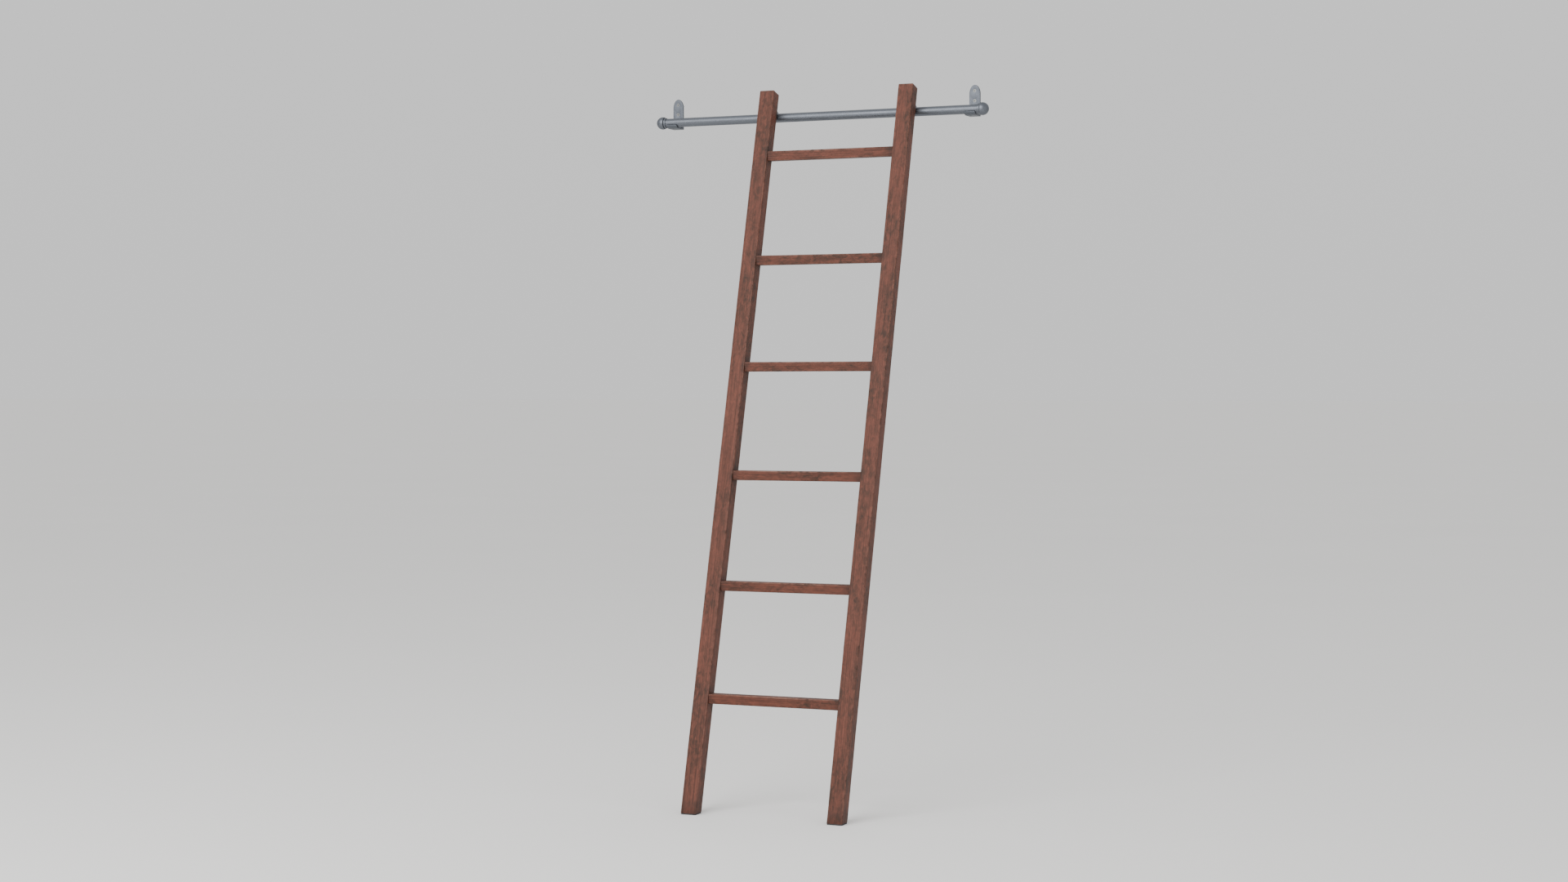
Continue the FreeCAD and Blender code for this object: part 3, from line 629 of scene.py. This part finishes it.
def settle(piece, body, slot, *nodes):
    """Puts a piece on its body in place of the CAD nodes that it stands for."""
    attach(piece, body)
    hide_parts(*nodes)


def smoothstep(low, high, value):
    share = min(max((value - low) / (high - low), 0.0), 1.0)
    return share * share * (3 - 2 * share)


def settle_eased(kind, easing, material, body, slot):
    """Puts an eased copy in place of the CAD piece of a kind on each side."""
    for side in SIDES:
        node = side + "_" + kind
        settle(eased_copy(node, easing, "visual_" + node, material), body, slot, node)


# ---------------------------------------------------------------- operators
MORTISE_EXTRA = 1.5 * MM
STILE_STEPS = 170
RUNG_STEPS = 48
# Share of the stiles' unevenness that the rungs have.
RUNG_UNEVENNESS = 0.8
TUBE_STEPS = 120
BALL_STEPS = 40


class LADDER_OT_stiles(bpy.types.Operator):
    """Makes the two stiles"""

    bl_idname = "ladder.stiles"
    bl_label = "Stiles"

    def execute(self, context):
        wood = context.scene.ladder_wood
        material = material_of("oiled_mahogany", oiled_mahogany, wood)
        for number, side in enumerate(SIDES):
            self.stile(side, number, wood, material)
        return {"FINISHED"}

    def stile(self, side, number, wood, material):
        node = side + "_stile"
        low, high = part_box(node)
        front, back = reach(node, INTO_STILE)
        top = reach(node, UP_STILE)[1]
        width, depth = high.x - low.x, back - front
        origin = X_AXIS * (low.x + high.x) / 2 + INTO_STILE * (front + back) / 2
        foot = low.z

        def foot_at(through):
            """Distance along the stile of the level foot, at a place through it."""
            return (foot - (origin + INTO_STILE * through).z) / UP_STILE.z

        def dirt_and_shade(across, through, along):
            """Soiling on the feet, and painted shade in the inner corners by the rungs and on the back by the
            rail.
            """
            inner = across * (1 if side == "left" else -1) > width * 0.4
            nearest = min(abs(along - rung) for rung in RUNGS_UP)
            by_rung = 0.75 * (1 - smoothstep(0.012, 0.034, nearest)) if inner else 0.0
            by_foot = 0.8 * (1 - smoothstep(0.0, 0.07, along - foot_at(through)))
            at_back = 0.5 * (1 - smoothstep(0.0, 0.03, abs(along - RAIL_UP)))
            return max(by_rung, by_foot, at_back if through > depth * 0.3 else 0.0)

        sections = []
        for inset, rise in ((1.0, 0.0), (0.3, 0.3), (0.0, 1.0)):
            points = board_section(width - inset * 2 * MM, depth - inset * 2 * MM, [wood.stile_arris] * 4)
            sections.append((lambda t, rise=rise: foot_at(t) + rise * MM, points, 1.0))
        first = foot_at(-depth / 2) + 0.004
        last = top - 1.6 * wood.stile_arris
        for step in range(STILE_STEPS + 1):
            share = step / STILE_STEPS
            middle_along = foot_at(0) + 0.02 + (last - foot_at(0) - 0.02) * share
            points = board_section(width, depth, uneven_radii(wood.stile_arris, number, middle_along))
            # Near the foot the sections stay level, and then turn square to the stile.
            level = 1 - smoothstep(0.0, 0.06, middle_along - first)

            def distance(t, level=level, middle_along=middle_along):
                return middle_along + level * (foot_at(t) - foot_at(0))

            worn = 0.8 + 0.4 * noise.noise(Vector((number, 7, middle_along / 0.2)))
            sections.append((distance, points, worn))
        round_top = wood.stile_arris
        for step in range(1, 7):
            angle = math.pi / 2 * step / 6
            inset = round_top * (1 - math.cos(angle))
            points = board_section(width - 2 * inset, depth - 2 * inset,
                                   [max(wood.stile_arris - inset, 0.6 * MM)] * 4)
            worn = math.sin(math.pi * step / 6)
            points = [(a, t, max(onto, worn)) for a, t, onto in points]
            sections.append((top - round_top * (1 - math.sin(angle)), points, 1.0))
        axes = (X_AXIS, INTO_STILE, UP_STILE)
        piece = sawn_board("visual_" + node, number, axes, origin, sections,
                           wood.unevenness, dirt_and_shade, material)
        tools = [self.mortises(side, low, high)]
        tools += [swollen_copy(side + screws)
                  for screws in ("_rung_pegs", "_hook_screws", "_foot_screws")]
        cut_joints(piece, tools, number, axes, origin, dirt_and_shade)
        settle(piece, "ladder", "stile_wood", node)

    def mortises(self, side, low, high):
        """The tool that cuts the blind mortises for the rungs' tenons."""
        bm = bmesh.new()
        for rung in RUNGS:
            bottom, top, front, back = left_tenon(rung)
            if side == "left":
                ends = (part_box(rung)[0].x - MORTISE_EXTRA, high.x + MORTISE_EXTRA)
            else:
                ends = (low.x - MORTISE_EXTRA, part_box(rung)[1].x + MORTISE_EXTRA)
            ranges = (ends, (front - JOINT_CLEARANCE, back + JOINT_CLEARANCE),
                      (bottom - JOINT_CLEARANCE, top + JOINT_CLEARANCE))
            corners = bmesh.ops.create_cube(bm, size=1.0)["verts"]
            for corner in corners:
                corner.co = Vector([r[0] if c < 0 else r[1] for c, r in zip(corner.co, ranges)])
        return to_object(bm, "tool", None)


class LADDER_OT_rungs(bpy.types.Operator):
    """Makes the rungs, each with a tenon at both ends"""

    bl_idname = "ladder.rungs"
    bl_label = "Rungs"

    def execute(self, context):
        wood = context.scene.ladder_wood
        material = material_of("oiled_mahogany", oiled_mahogany, wood)
        for number, node in enumerate(RUNGS, start=len(SIDES)):
            self.rung(node, number, wood, material)
        return {"FINISHED"}

    def rung(self, node, number, wood, material):
        low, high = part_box(node)
        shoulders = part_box("left_stile")[1].x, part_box("right_stile")[0].x
        bottom, top, front, back = left_tenon(node)
        tenon = top - bottom, back - front
        height, depth = high.z - low.z, high.y - low.y
        origin = middle(node)
        span = shoulders[1] - shoulders[0]
        half = span / 2

        def tread_wear(along):
            """Feet rub the middle of a rung most, and its top front arris more than the others."""
            return 1 - smoothstep(0.25, 0.95, abs(along) / half)

        def dirt_and_shade(across, through, along):
            # Painted shade at the rung's ends by the stiles and on its underside.
            by_stile = 0.85 * smoothstep(half - 0.026, half - 0.001, abs(along))
            under = 0.25 if across < -height * 0.45 else 0.0
            return max(by_stile, under)

        tenon_points = board_section(tenon[0], tenon[1], [TENON_ARRIS] * 4)
        sections = [(low.x - origin.x + inset * MM, tenon_points, 0.0) for inset in (0.0, 2.0)]
        sections.append((-half, tenon_points, 0.0))
        for step in range(RUNG_STEPS + 1):
            along = -half + span * step / RUNG_STEPS
            radii = uneven_radii(wood.rung_arris, number, along)
            # The last of the four arrises is the one at the top front.
            radii[3] *= 1 + 0.55 * tread_wear(along)
            points = [(a, t, onto * (1.0 + 0.9 * tread_wear(along)) if a > 0 and t < 0 else onto)
                      for a, t, onto in board_section(height, depth, radii)]
            sections.append((along, points, 0.85))
        sections.append((half, tenon_points, 0.0))
        sections += [(high.x - origin.x - inset * MM, tenon_points, 0.0) for inset in (2.0, 0.0)]
        axes = (Z_AXIS, Y_AXIS, X_AXIS)
        piece = sawn_board("visual_" + node, number, axes, origin, sections,
                           wood.unevenness * RUNG_UNEVENNESS, dirt_and_shade, material)
        tools = [swollen_copy(side + "_rung_pegs") for side in SIDES]
        cut_joints(piece, tools, number, axes, origin, dirt_and_shade)
        settle(piece, "ladder", "rung_wood", node)


class LADDER_OT_pegs(bpy.types.Operator):
    """Makes the pegs that pin the tenons"""

    bl_idname = "ladder.pegs"
    bl_label = "Rung pegs"

    def execute(self, context):
        material = material_of("oiled_mahogany", oiled_mahogany, context.scene.ladder_wood)
        for side in SIDES:
            node = side + "_rung_pegs"
            low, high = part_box(node)
            radius = (high.x - low.x) / 2
            inner, outer = reach(node, INTO_STILE)
            across = middle(node).x
            bm = bmesh.new()
            layers = board_layers(bm)
            for number, rung in enumerate(RUNGS_UP):
                centre = X_AXIS * across + UP_STILE * rung
                self.peg(bm, layers, number, centre, inner, outer, radius)
            piece = to_object(bm, "visual_" + node, material)
            settle(piece, "ladder", "peg_wood", node)
        return {"FINISHED"}

    def peg(self, bm, layers, number, centre, inner, outer, radius):
        """A peg split and shaved by hand: faintly ten-sided, with an eased point and a domed end."""
        outline = [(inner, 0.0), (inner, 0.7), (inner + 0.5 * MM, 0.88), (inner + 3 * MM, 0.99),
                   (outer - 0.6 * MM, 0.99), (outer - 0.35 * MM, 0.97), (outer - 0.15 * MM, 0.86),
                   (outer - 0.04 * MM, 0.55), (outer, 0.0)]
        segments = 30
        rings = []
        for depth, share in outline:
            ring = []
            for i in range(segments if share else 1):
                angle = 2 * math.pi * i / segments
                facet = 1 - 0.02 * (0.5 + 0.5 * math.cos(angle * 10 + number))
                spoke = (X_AXIS * math.cos(angle) + UP_STILE * math.sin(angle)) * (radius * share * facet)
                vertex = bm.verts.new(centre + INTO_STILE * depth + spoke)
                # The fibres run along the peg, so its end shows end grain.
                vertex[layers[0]] = Vector((spoke.x, spoke.dot(UP_STILE), depth)) / MM + Vector(
                    (13.0 * number, 29.0 * number, 7.0))
                vertex[layers[1]] = 0.0
                vertex[layers[2]] = 0.75
                ring.append(vertex)
            rings.append(ring)
        skin(bm, rings)


# The pad's edge from the floor up: share of its height, and millimetres in from its side.
PAD_EDGE = ((0.0, 0.35), (0.12, 0.1), (0.28, 0.0), (0.42, 0.0), (0.47, 0.45), (0.6, 0.45), (0.65, 0.0),
            (0.85, 0.0), (0.96, 0.1), (1.0, 0.3))
PAD_CORNER = 3.0
# Middles of the grooves under the pad, and how wide and how tall the tool for each is, in millimetres.
TREADS = (-14.5, -4.0, 0.0, 4.0, 14.5)
TREAD_WIDTH = 1.2
TREAD_TOOL_HEIGHT = 1.0
# Share of the screw head's radius that the hole through the pad has.
SHANK_SHARE = 0.62


class LADDER_OT_feet(bpy.types.Operator):
    """Makes the rubber pads under the stiles"""

    bl_idname = "ladder.feet"
    bl_label = "Foot pads"

    def execute(self, context):
        plastic = context.scene.ladder_plastic
        material = material_of("moulded_rubber", moulded, "moulded_rubber", plastic.rubber,
                               linear("6E6A66"), 0.72, 0.5)
        for side in SIDES:
            self.pad(side, material)
        return {"FINISHED"}

    def pad(self, side, material):
        """A pad with a groove round its edge, treads under it and countersinks for its screws."""
        node = side + "_foot_pad"
        low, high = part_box(node)
        width, depth, height = high - low
        centre = middle(node)
        bm = bmesh.new()
        rings = []
        for level, inset in PAD_EDGE:
            points = board_section(width - 2 * inset * MM, depth - 2 * inset * MM,
                                   [PAD_CORNER * MM - inset * MM] * 4)
            rings.append([bm.verts.new((centre.x + a, centre.y + t, low.z + height * level))
                          for a, t, _ in points])
        skin(bm, rings)
        bm.faces.new(rings[0])
        bm.faces.new(rings[-1])
        piece = to_object(bm, "visual_" + node, material)
        tools = [self.countersink(side, end) for end in (0, 1)] + self.treads(centre, low, width)
        cut_away(piece, tools)
        settle(piece, "ladder", "foot_rubber", node)

    def countersink(self, side, end):
        """The tool that cuts one screw's hole."""
        screws = side + "_foot_screws"
        low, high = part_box(screws)
        radius = (high.x - low.x) / 2
        pad_low, pad_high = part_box(side + "_foot_pad")
        y = (low.y + radius, high.y - radius)[end]
        origin = Vector((middle(screws).x, y, 0.0))
        head = low.z
        outline = [(pad_low.z - 1 * MM, 0.0), (pad_low.z - 1 * MM, radius * 1.02), (head, radius * 1.02),
                   (head + 1.4 * MM, radius * SHANK_SHARE), (pad_high.z + 1 * MM, radius * SHANK_SHARE),
                   (pad_high.z + 1 * MM, 0.0)]
        return turned("tool", outline, origin, Z_AXIS, X_AXIS, None, segments=40)

    def treads(self, centre, low, width):
        """The tools that cut the grooves across the underside."""
        tools = []
        for offset in TREADS:
            bm = bmesh.new()
            bmesh.ops.create_cube(bm, size=1.0)
            for vertex in bm.verts:
                vertex.co = Vector((centre.x + vertex.co.x * width * 1.2,
                                    centre.y + offset * MM + vertex.co.y * TREAD_WIDTH * MM,
                                    low.z + vertex.co.z * TREAD_TOOL_HEIGHT * MM))
            tools.append(to_object(bm, "tool", None))
        return tools


def cut_away(piece, tools):
    """Takes the tools' shapes out of a piece, and the tools out of the scene."""
    for tool in tools:
        cutter = piece.modifiers.new("cut", "BOOLEAN")
        cutter.operation = "DIFFERENCE"
        cutter.solver = "EXACT"
        cutter.object = tool
    graph = bpy.context.evaluated_depsgraph_get()
    cut = bpy.data.meshes.new_from_object(piece.evaluated_get(graph))
    piece.modifiers.clear()
    piece.data = cut
    for tool in tools:
        bpy.data.objects.remove(tool)
    bm = bmesh.new()
    bm.from_mesh(cut)
    for edge in bm.edges:
        edge.smooth = len(edge.link_faces) != 2 or edge.calc_face_angle(0) < math.radians(SHARP_DEG)
    bm.to_mesh(cut)
    bm.free()


class LADDER_OT_rail(bpy.types.Operator):
    """Makes the rail's tube and its turned ball ends"""

    bl_idname = "ladder.rail"
    bl_label = "Rail and ball ends"

    def execute(self, context):
        material = rail_finish(context.scene)
        self.tube(material)
        for side in SIDES:
            self.ball(side, material)
        return {"FINISHED"}

    def tube(self, material):
        """The tube, with a clearer shine along the top where the glide shoes rub it, and a painted highlight
        there that lightens its colour.
        """
        low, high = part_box("rail_tube")
        length = high.x - low.x
        wall = self.wall()
        slide = joint("slide_along_rail")["range_m"]
        runs = [(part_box(side + "_glide_shoe")[0].x + slide[0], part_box(side + "_glide_shoe")[1].x + slide[1])
                for side in SIDES]

        # The rubbed track along the top, which also sets a painted highlight there.
        def rubbed(point):
            along = max(smoothstep(start - 0.01, start + 0.02, point.x) *
                        (1 - smoothstep(end - 0.02, end + 0.01, point.x)) for start, end in runs)
            height = (point.z - RAIL_AXIS.z) / RAIL_RADIUS
            scuffed = 0.65 + 0.35 * noise.noise(Vector((point.x / 0.05, point.y / 0.004, 0.0)))
            return along * smoothstep(0.35, 0.95, height) * scuffed

        rim = 0.5 * MM
        outer = [(length * step / TUBE_STEPS, RAIL_RADIUS) for step in range(1, TUBE_STEPS)]
        outline = ([(0.0, RAIL_RADIUS - wall), (0.0, RAIL_RADIUS - rim), (rim, RAIL_RADIUS)] + outer +
                   [(length - rim, RAIL_RADIUS), (length, RAIL_RADIUS - rim), (length, RAIL_RADIUS - wall)])
        origin = Vector((low.x, RAIL_AXIS.y, RAIL_AXIS.z))
        piece = turned("visual_rail_tube", outline, origin, X_AXIS, Z_AXIS, material,
                       closed=True, mask=rubbed)
        settle(piece, "rail", "rail_steel", "rail_tube")

    def wall(self):
        """The thickness of the tube's wall."""
        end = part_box("rail_tube")[0].x
        radii = [math.hypot(v.co.y - RAIL_AXIS.y, v.co.z - RAIL_AXIS.z)
                 for v in frame["nodes"]["rail_tube"].data.vertices if v.co.x < end + 0.1 * MM]
        return max(radii) - min(radii)

    def ball(self, side, material):
        """A collar with rounded rims, a turned crease and a ball."""
        node = side + "_end_ball"
        out = X_AXIS if side == "right" else -X_AXIS
        reach_out = reach(node, out)[1]
        tube_end = reach("rail_tube", out)[1]
        points = [v.co for v in frame["nodes"][node].data.vertices]
        radii = [(p.dot(out), math.hypot(p.y - RAIL_AXIS.y, p.z - RAIL_AXIS.z)) for p in points]
        ball_radius = max(radius for _, radius in radii)
        spigot_end = min(along for along, _ in radii)
        spigot = max(radius for along, radius in radii if along < tube_end - 1 * MM)
        collar = max(radius for along, radius in radii if along < tube_end + 2 * MM)
        collar_end = min(along for along, radius in radii if radius > collar + 0.5 * MM)
        centre = reach_out - ball_radius
        back = math.acos((collar_end + 0.7 * MM - centre) / ball_radius)
        rim = 1.1 * MM
        outline = [(spigot_end, 0.0), (spigot_end, spigot - rim),
                   (spigot_end + rim, spigot), (tube_end, spigot)]
        outline += quarter(tube_end + rim, collar - rim, rim, 0.0)
        outline += quarter(collar_end - rim, collar - rim, rim, math.pi / 2)
        outline += [(collar_end - 0.1 * MM, collar - 2.2 * MM), (collar_end + 0.1 * MM, collar - 2.2 * MM)]
        # The ball's back edge is eased where it leaves the crease.
        outline.append((collar_end + 0.2 * MM, ball_radius * math.sin(back) - 0.7 * MM))
        for step in range(BALL_STEPS):
            angle = back * (1 - step / BALL_STEPS)
            outline.append((centre + ball_radius * math.cos(angle), ball_radius * math.sin(angle)))
        outline.append((centre + ball_radius, 0.0))
        origin = Vector((0.0, RAIL_AXIS.y, RAIL_AXIS.z))
        piece = turned("visual_" + node, outline, origin, out, Z_AXIS, material, segments=96)
        settle(piece, "rail", "rail_steel", node)


class LADDER_OT_brackets(bpy.types.Operator):
    """Makes the brackets that carry the rail"""

    bl_idname = "ladder.brackets"
    bl_label = "Brackets"

    def execute(self, context):
        easing = context.scene.ladder_metal.easing
        settle_eased("bracket", easing, plate_finish(context.scene), "rail", "bracket_steel")
        return {"FINISHED"}


class LADDER_OT_hooks(bpy.types.Operator):
    """Makes the hooks that hang the ladder on its rail"""

    bl_idname = "ladder.hooks"
    bl_label = "Hooks"

    def execute(self, context):
        easing = context.scene.ladder_metal.easing
        settle_eased("hook", easing, plate_finish(context.scene), "ladder", "hook_steel")
        return {"FINISHED"}


class LADDER_OT_shoes(bpy.types.Operator):
    """Makes the glide shoes between the hooks and the rail"""

    bl_idname = "ladder.shoes"
    bl_label = "Glide shoes"

    def execute(self, context):
        plastic = context.scene.ladder_plastic
        material = material_of("moulded_nylon", moulded, "moulded_nylon", plastic.nylon,
                               linear("56565A"), 0.45, 0.35)
        settle_eased("glide_shoe", plastic.easing, material, "glide_shoes", "glide_nylon")
        return {"FINISHED"}


# The thread: its core as a share of the shank's radius, and half a ridge as a share of the pitch.
CORE_SHARE = 0.68
HALF_RIDGE = 0.24
THREAD_SEGMENTS = 28
ROWS_PER_TURN = 8


class LADDER_OT_screws(bpy.types.Operator):
    """Cuts threads on the bracket screws and gives every screw its finish"""

    bl_idname = "ladder.screws"
    bl_label = "Screws"

    def execute(self, context):
        metal = context.scene.ladder_metal
        material = material_of("bright_zinc", bright_zinc, metal)
        for name, node in frame["nodes"].items():
            if name.endswith("_screws"):
                node.data.materials.clear()
                node.data.materials.append(material)
        for side in SIDES:
            self.bracket_screws(side, metal, material)
        return {"FINISHED"}

    def bracket_screws(self, side, metal, material):
        """The heads and necks of the CAD screws, with threaded and pointed shanks behind the plate."""
        node = side + "_bracket_screws"
        low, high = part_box(node)
        head = (high.x - low.x) / 2
        plate_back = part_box(side + "_bracket")[1].y
        shank = [v.co for v in frame["nodes"][node].data.vertices if v.co.y > plate_back + 0.1 * MM]
        thread = (max(p.x for p in shank) - min(p.x for p in shank)) / 2
        bm = bmesh.new()
        bm.from_mesh(frame["nodes"][node].data)
        bmesh.ops.remove_doubles(bm, verts=bm.verts, dist=WELD)
        beyond = [v for v in bm.verts if v.co.y > plate_back + 0.1 * MM]
        bmesh.ops.delete(bm, geom=beyond, context="VERTS")
        bmesh.ops.holes_fill(bm, edges=[e for e in bm.edges if e.is_boundary])
        start = plate_back - 0.8 * MM
        for height in (low.z + head, high.z - head):
            self.shank(bm, Vector(((low.x + high.x) / 2, start, height)), high.y - start, thread,
                       metal.thread_pitch)
        settle(to_object(bm, "visual_" + node, material), "rail", "screw_steel", node)

    def shank(self, bm, origin, length, radius, pitch):
        """A shank with a V thread, which runs out to a point."""
        core = CORE_SHARE * radius
        rows = round(length / pitch * ROWS_PER_TURN)
        rings = []
        for row in range(rows):
            along = length * row / rows
            taper = min(1.0, (length - along) / (3 * radius))
            ring = []
            for i in range(THREAD_SEGMENTS):
                phase = (along / pitch - i / THREAD_SEGMENTS) % 1.0
                ridge = max(0.0, 1 - abs(phase - 0.5) / HALF_RIDGE)
                size = taper * (core + (radius - core) * ridge)
                angle = 2 * math.pi * i / THREAD_SEGMENTS
                spoke = Vector((size * math.cos(angle), along, size * math.sin(angle)))
                ring.append(bm.verts.new(origin + spoke))
            rings.append(ring)
        rings.append([bm.verts.new(origin + Y_AXIS * length)])
        bm.faces.new(rings[0])
        skin(bm, rings)


# The sky's strength at the horizon, as a share of its strength overhead.
HORIZON_SHARE = 0.87
KEY_PLACE, KEY_SIZE = Vector((-1.3, -5.6, 4.2)), 5.0
FILL_PLACE, FILL_SIZE = Vector((4.4, -2.0, 2.2)), 2.4
# A viewer's place: to the right of the feet, in front of them, and the height of the eye.
VIEWER_RIGHT, VIEWER_BEFORE, EYE_HEIGHT = 2.58, 5.9, 1.095


class LADDER_OT_stage(bpy.types.Operator):
    """Makes the floor, the light and the camera"""

    bl_idname = "ladder.stage"
    bl_label = "Stage"

    def execute(self, context):
        stage = context.scene.ladder_stage
        self.floor(stage)
        low, high = CAD_BOUNDS
        target = (low + high) / 2
        self.sky(context.scene, stage)
        self.soft_light("key_light", stage.key_power, KEY_SIZE, KEY_PLACE, target)
        self.soft_light("fill_light", stage.fill_power, FILL_SIZE, FILL_PLACE, target)
        self.camera(context.scene, stage, target)
        return {"FINISHED"}

    def floor(self, stage):
        bm = bmesh.new()
        bmesh.ops.create_grid(bm, x_segments=12, y_segments=12, size=stage.floor_reach)
        piece = to_object(bm, "floor", matt_floor(stage))

    def sky(self, scene, stage):
        """Even light from all round, a little weaker at the horizon, to meet the floor's tone."""
        world = bpy.data.worlds.new("studio")
        scene.world = world
        world.use_nodes = True
        world.node_tree.nodes.clear()
        direction = add(world.node_tree, "ShaderNodeTexCoord").outputs["Generated"]
        height = add(world.node_tree, "ShaderNodeSeparateXYZ", {0: direction})
        strength = add(world.node_tree, "ShaderNodeMapRange", {"Value": height.outputs["Z"],
                                                               "From Min": 0.02, "From Max": 0.5,
                                                               "To Min": stage.sky * HORIZON_SHARE,
                                                               "To Max": stage.sky},
                       interpolation_type="SMOOTHSTEP")
        light = add(world.node_tree, "ShaderNodeBackground",
                    {"Color": (1.0, 1.0, 1.0, 1.0), "Strength": strength})
        add(world.node_tree, "ShaderNodeOutputWorld", {"Surface": light})

    def soft_light(self, name, power, size, place, target):
        light = bpy.data.lights.new(name, "AREA")
        light.energy = power
        light.shape = "DISK"
        light.size = size
        lamp = bpy.data.objects.new(name, light)
        lamp.location = place
        lamp.rotation_euler = (target - place).to_track_quat("-Z", "Y").to_euler()
        lamp.visible_camera = False
        bpy.context.scene.collection.objects.link(lamp)

    def camera(self, scene, stage, target):
        """A standing viewer's place, at the right of the ladder and in front of it."""
        between_feet = (middle("left_foot_pad") + middle("right_foot_pad")) / 2
        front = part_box("left_foot_pad")[0].y
        place = Vector((between_feet.x + VIEWER_RIGHT, front - VIEWER_BEFORE, EYE_HEIGHT))
        lens = bpy.data.cameras.new("camera")
        lens.lens = stage.lens
        lens.sensor_width = 36.0
        viewer = bpy.data.objects.new("camera", lens)
        viewer.location = place
        viewer.rotation_euler = (target - place).to_track_quat("-Z", "Y").to_euler()
        scene.collection.objects.link(viewer)
        scene.camera = viewer


# ---------------------------------------------------------------- panel and registration
OPERATORS = (LADDER_OT_stiles, LADDER_OT_rungs, LADDER_OT_pegs, LADDER_OT_feet, LADDER_OT_rail,
             LADDER_OT_brackets, LADDER_OT_hooks, LADDER_OT_shoes, LADDER_OT_screws, LADDER_OT_stage)
SETTINGS = {"ladder_wood": WoodSettings, "ladder_metal": MetalSettings, "ladder_plastic": PlasticSettings,
            "ladder_stage": StageSettings}


class LADDER_PT_pieces(bpy.types.Panel):
    """The ladder's pieces and their settings"""

    bl_idname = "LADDER_PT_pieces"
    bl_label = "Library ladder"
    bl_space_type = "VIEW_3D"
    bl_region_type = "UI"
    bl_category = "Library ladder"

    def draw(self, context):
        for name in SETTINGS:
            box = self.layout.box()
            settings = getattr(context.scene, name)
            for key in settings.bl_rna.properties.keys():
                if key not in ("rna_type", "name"):
                    box.prop(settings, key)
        for operator in OPERATORS:
            self.layout.operator(operator.bl_idname)


def register():
    for settings in SETTINGS.values():
        bpy.utils.register_class(settings)
    for name, settings in SETTINGS.items():
        setattr(bpy.types.Scene, name, bpy.props.PointerProperty(type=settings))
    for operator in OPERATORS:
        bpy.utils.register_class(operator)
    bpy.utils.register_class(LADDER_PT_pieces)


def unregister():
    bpy.utils.unregister_class(LADDER_PT_pieces)
    for operator in reversed(OPERATORS):
        bpy.utils.unregister_class(operator)
    for name in SETTINGS:
        delattr(bpy.types.Scene, name)
    for settings in reversed(SETTINGS.values()):
        bpy.utils.unregister_class(settings)


def main():
    register()
    bpy.ops.ladder.stage()
    bpy.ops.ladder.stiles()
    bpy.ops.ladder.rungs()
    bpy.ops.ladder.pegs()
    bpy.ops.ladder.feet()
    bpy.ops.ladder.rail()
    bpy.ops.ladder.brackets()
    bpy.ops.ladder.hooks()
    bpy.ops.ladder.shoes()
    bpy.ops.ladder.screws()


if __name__ == "__main__":
    main()
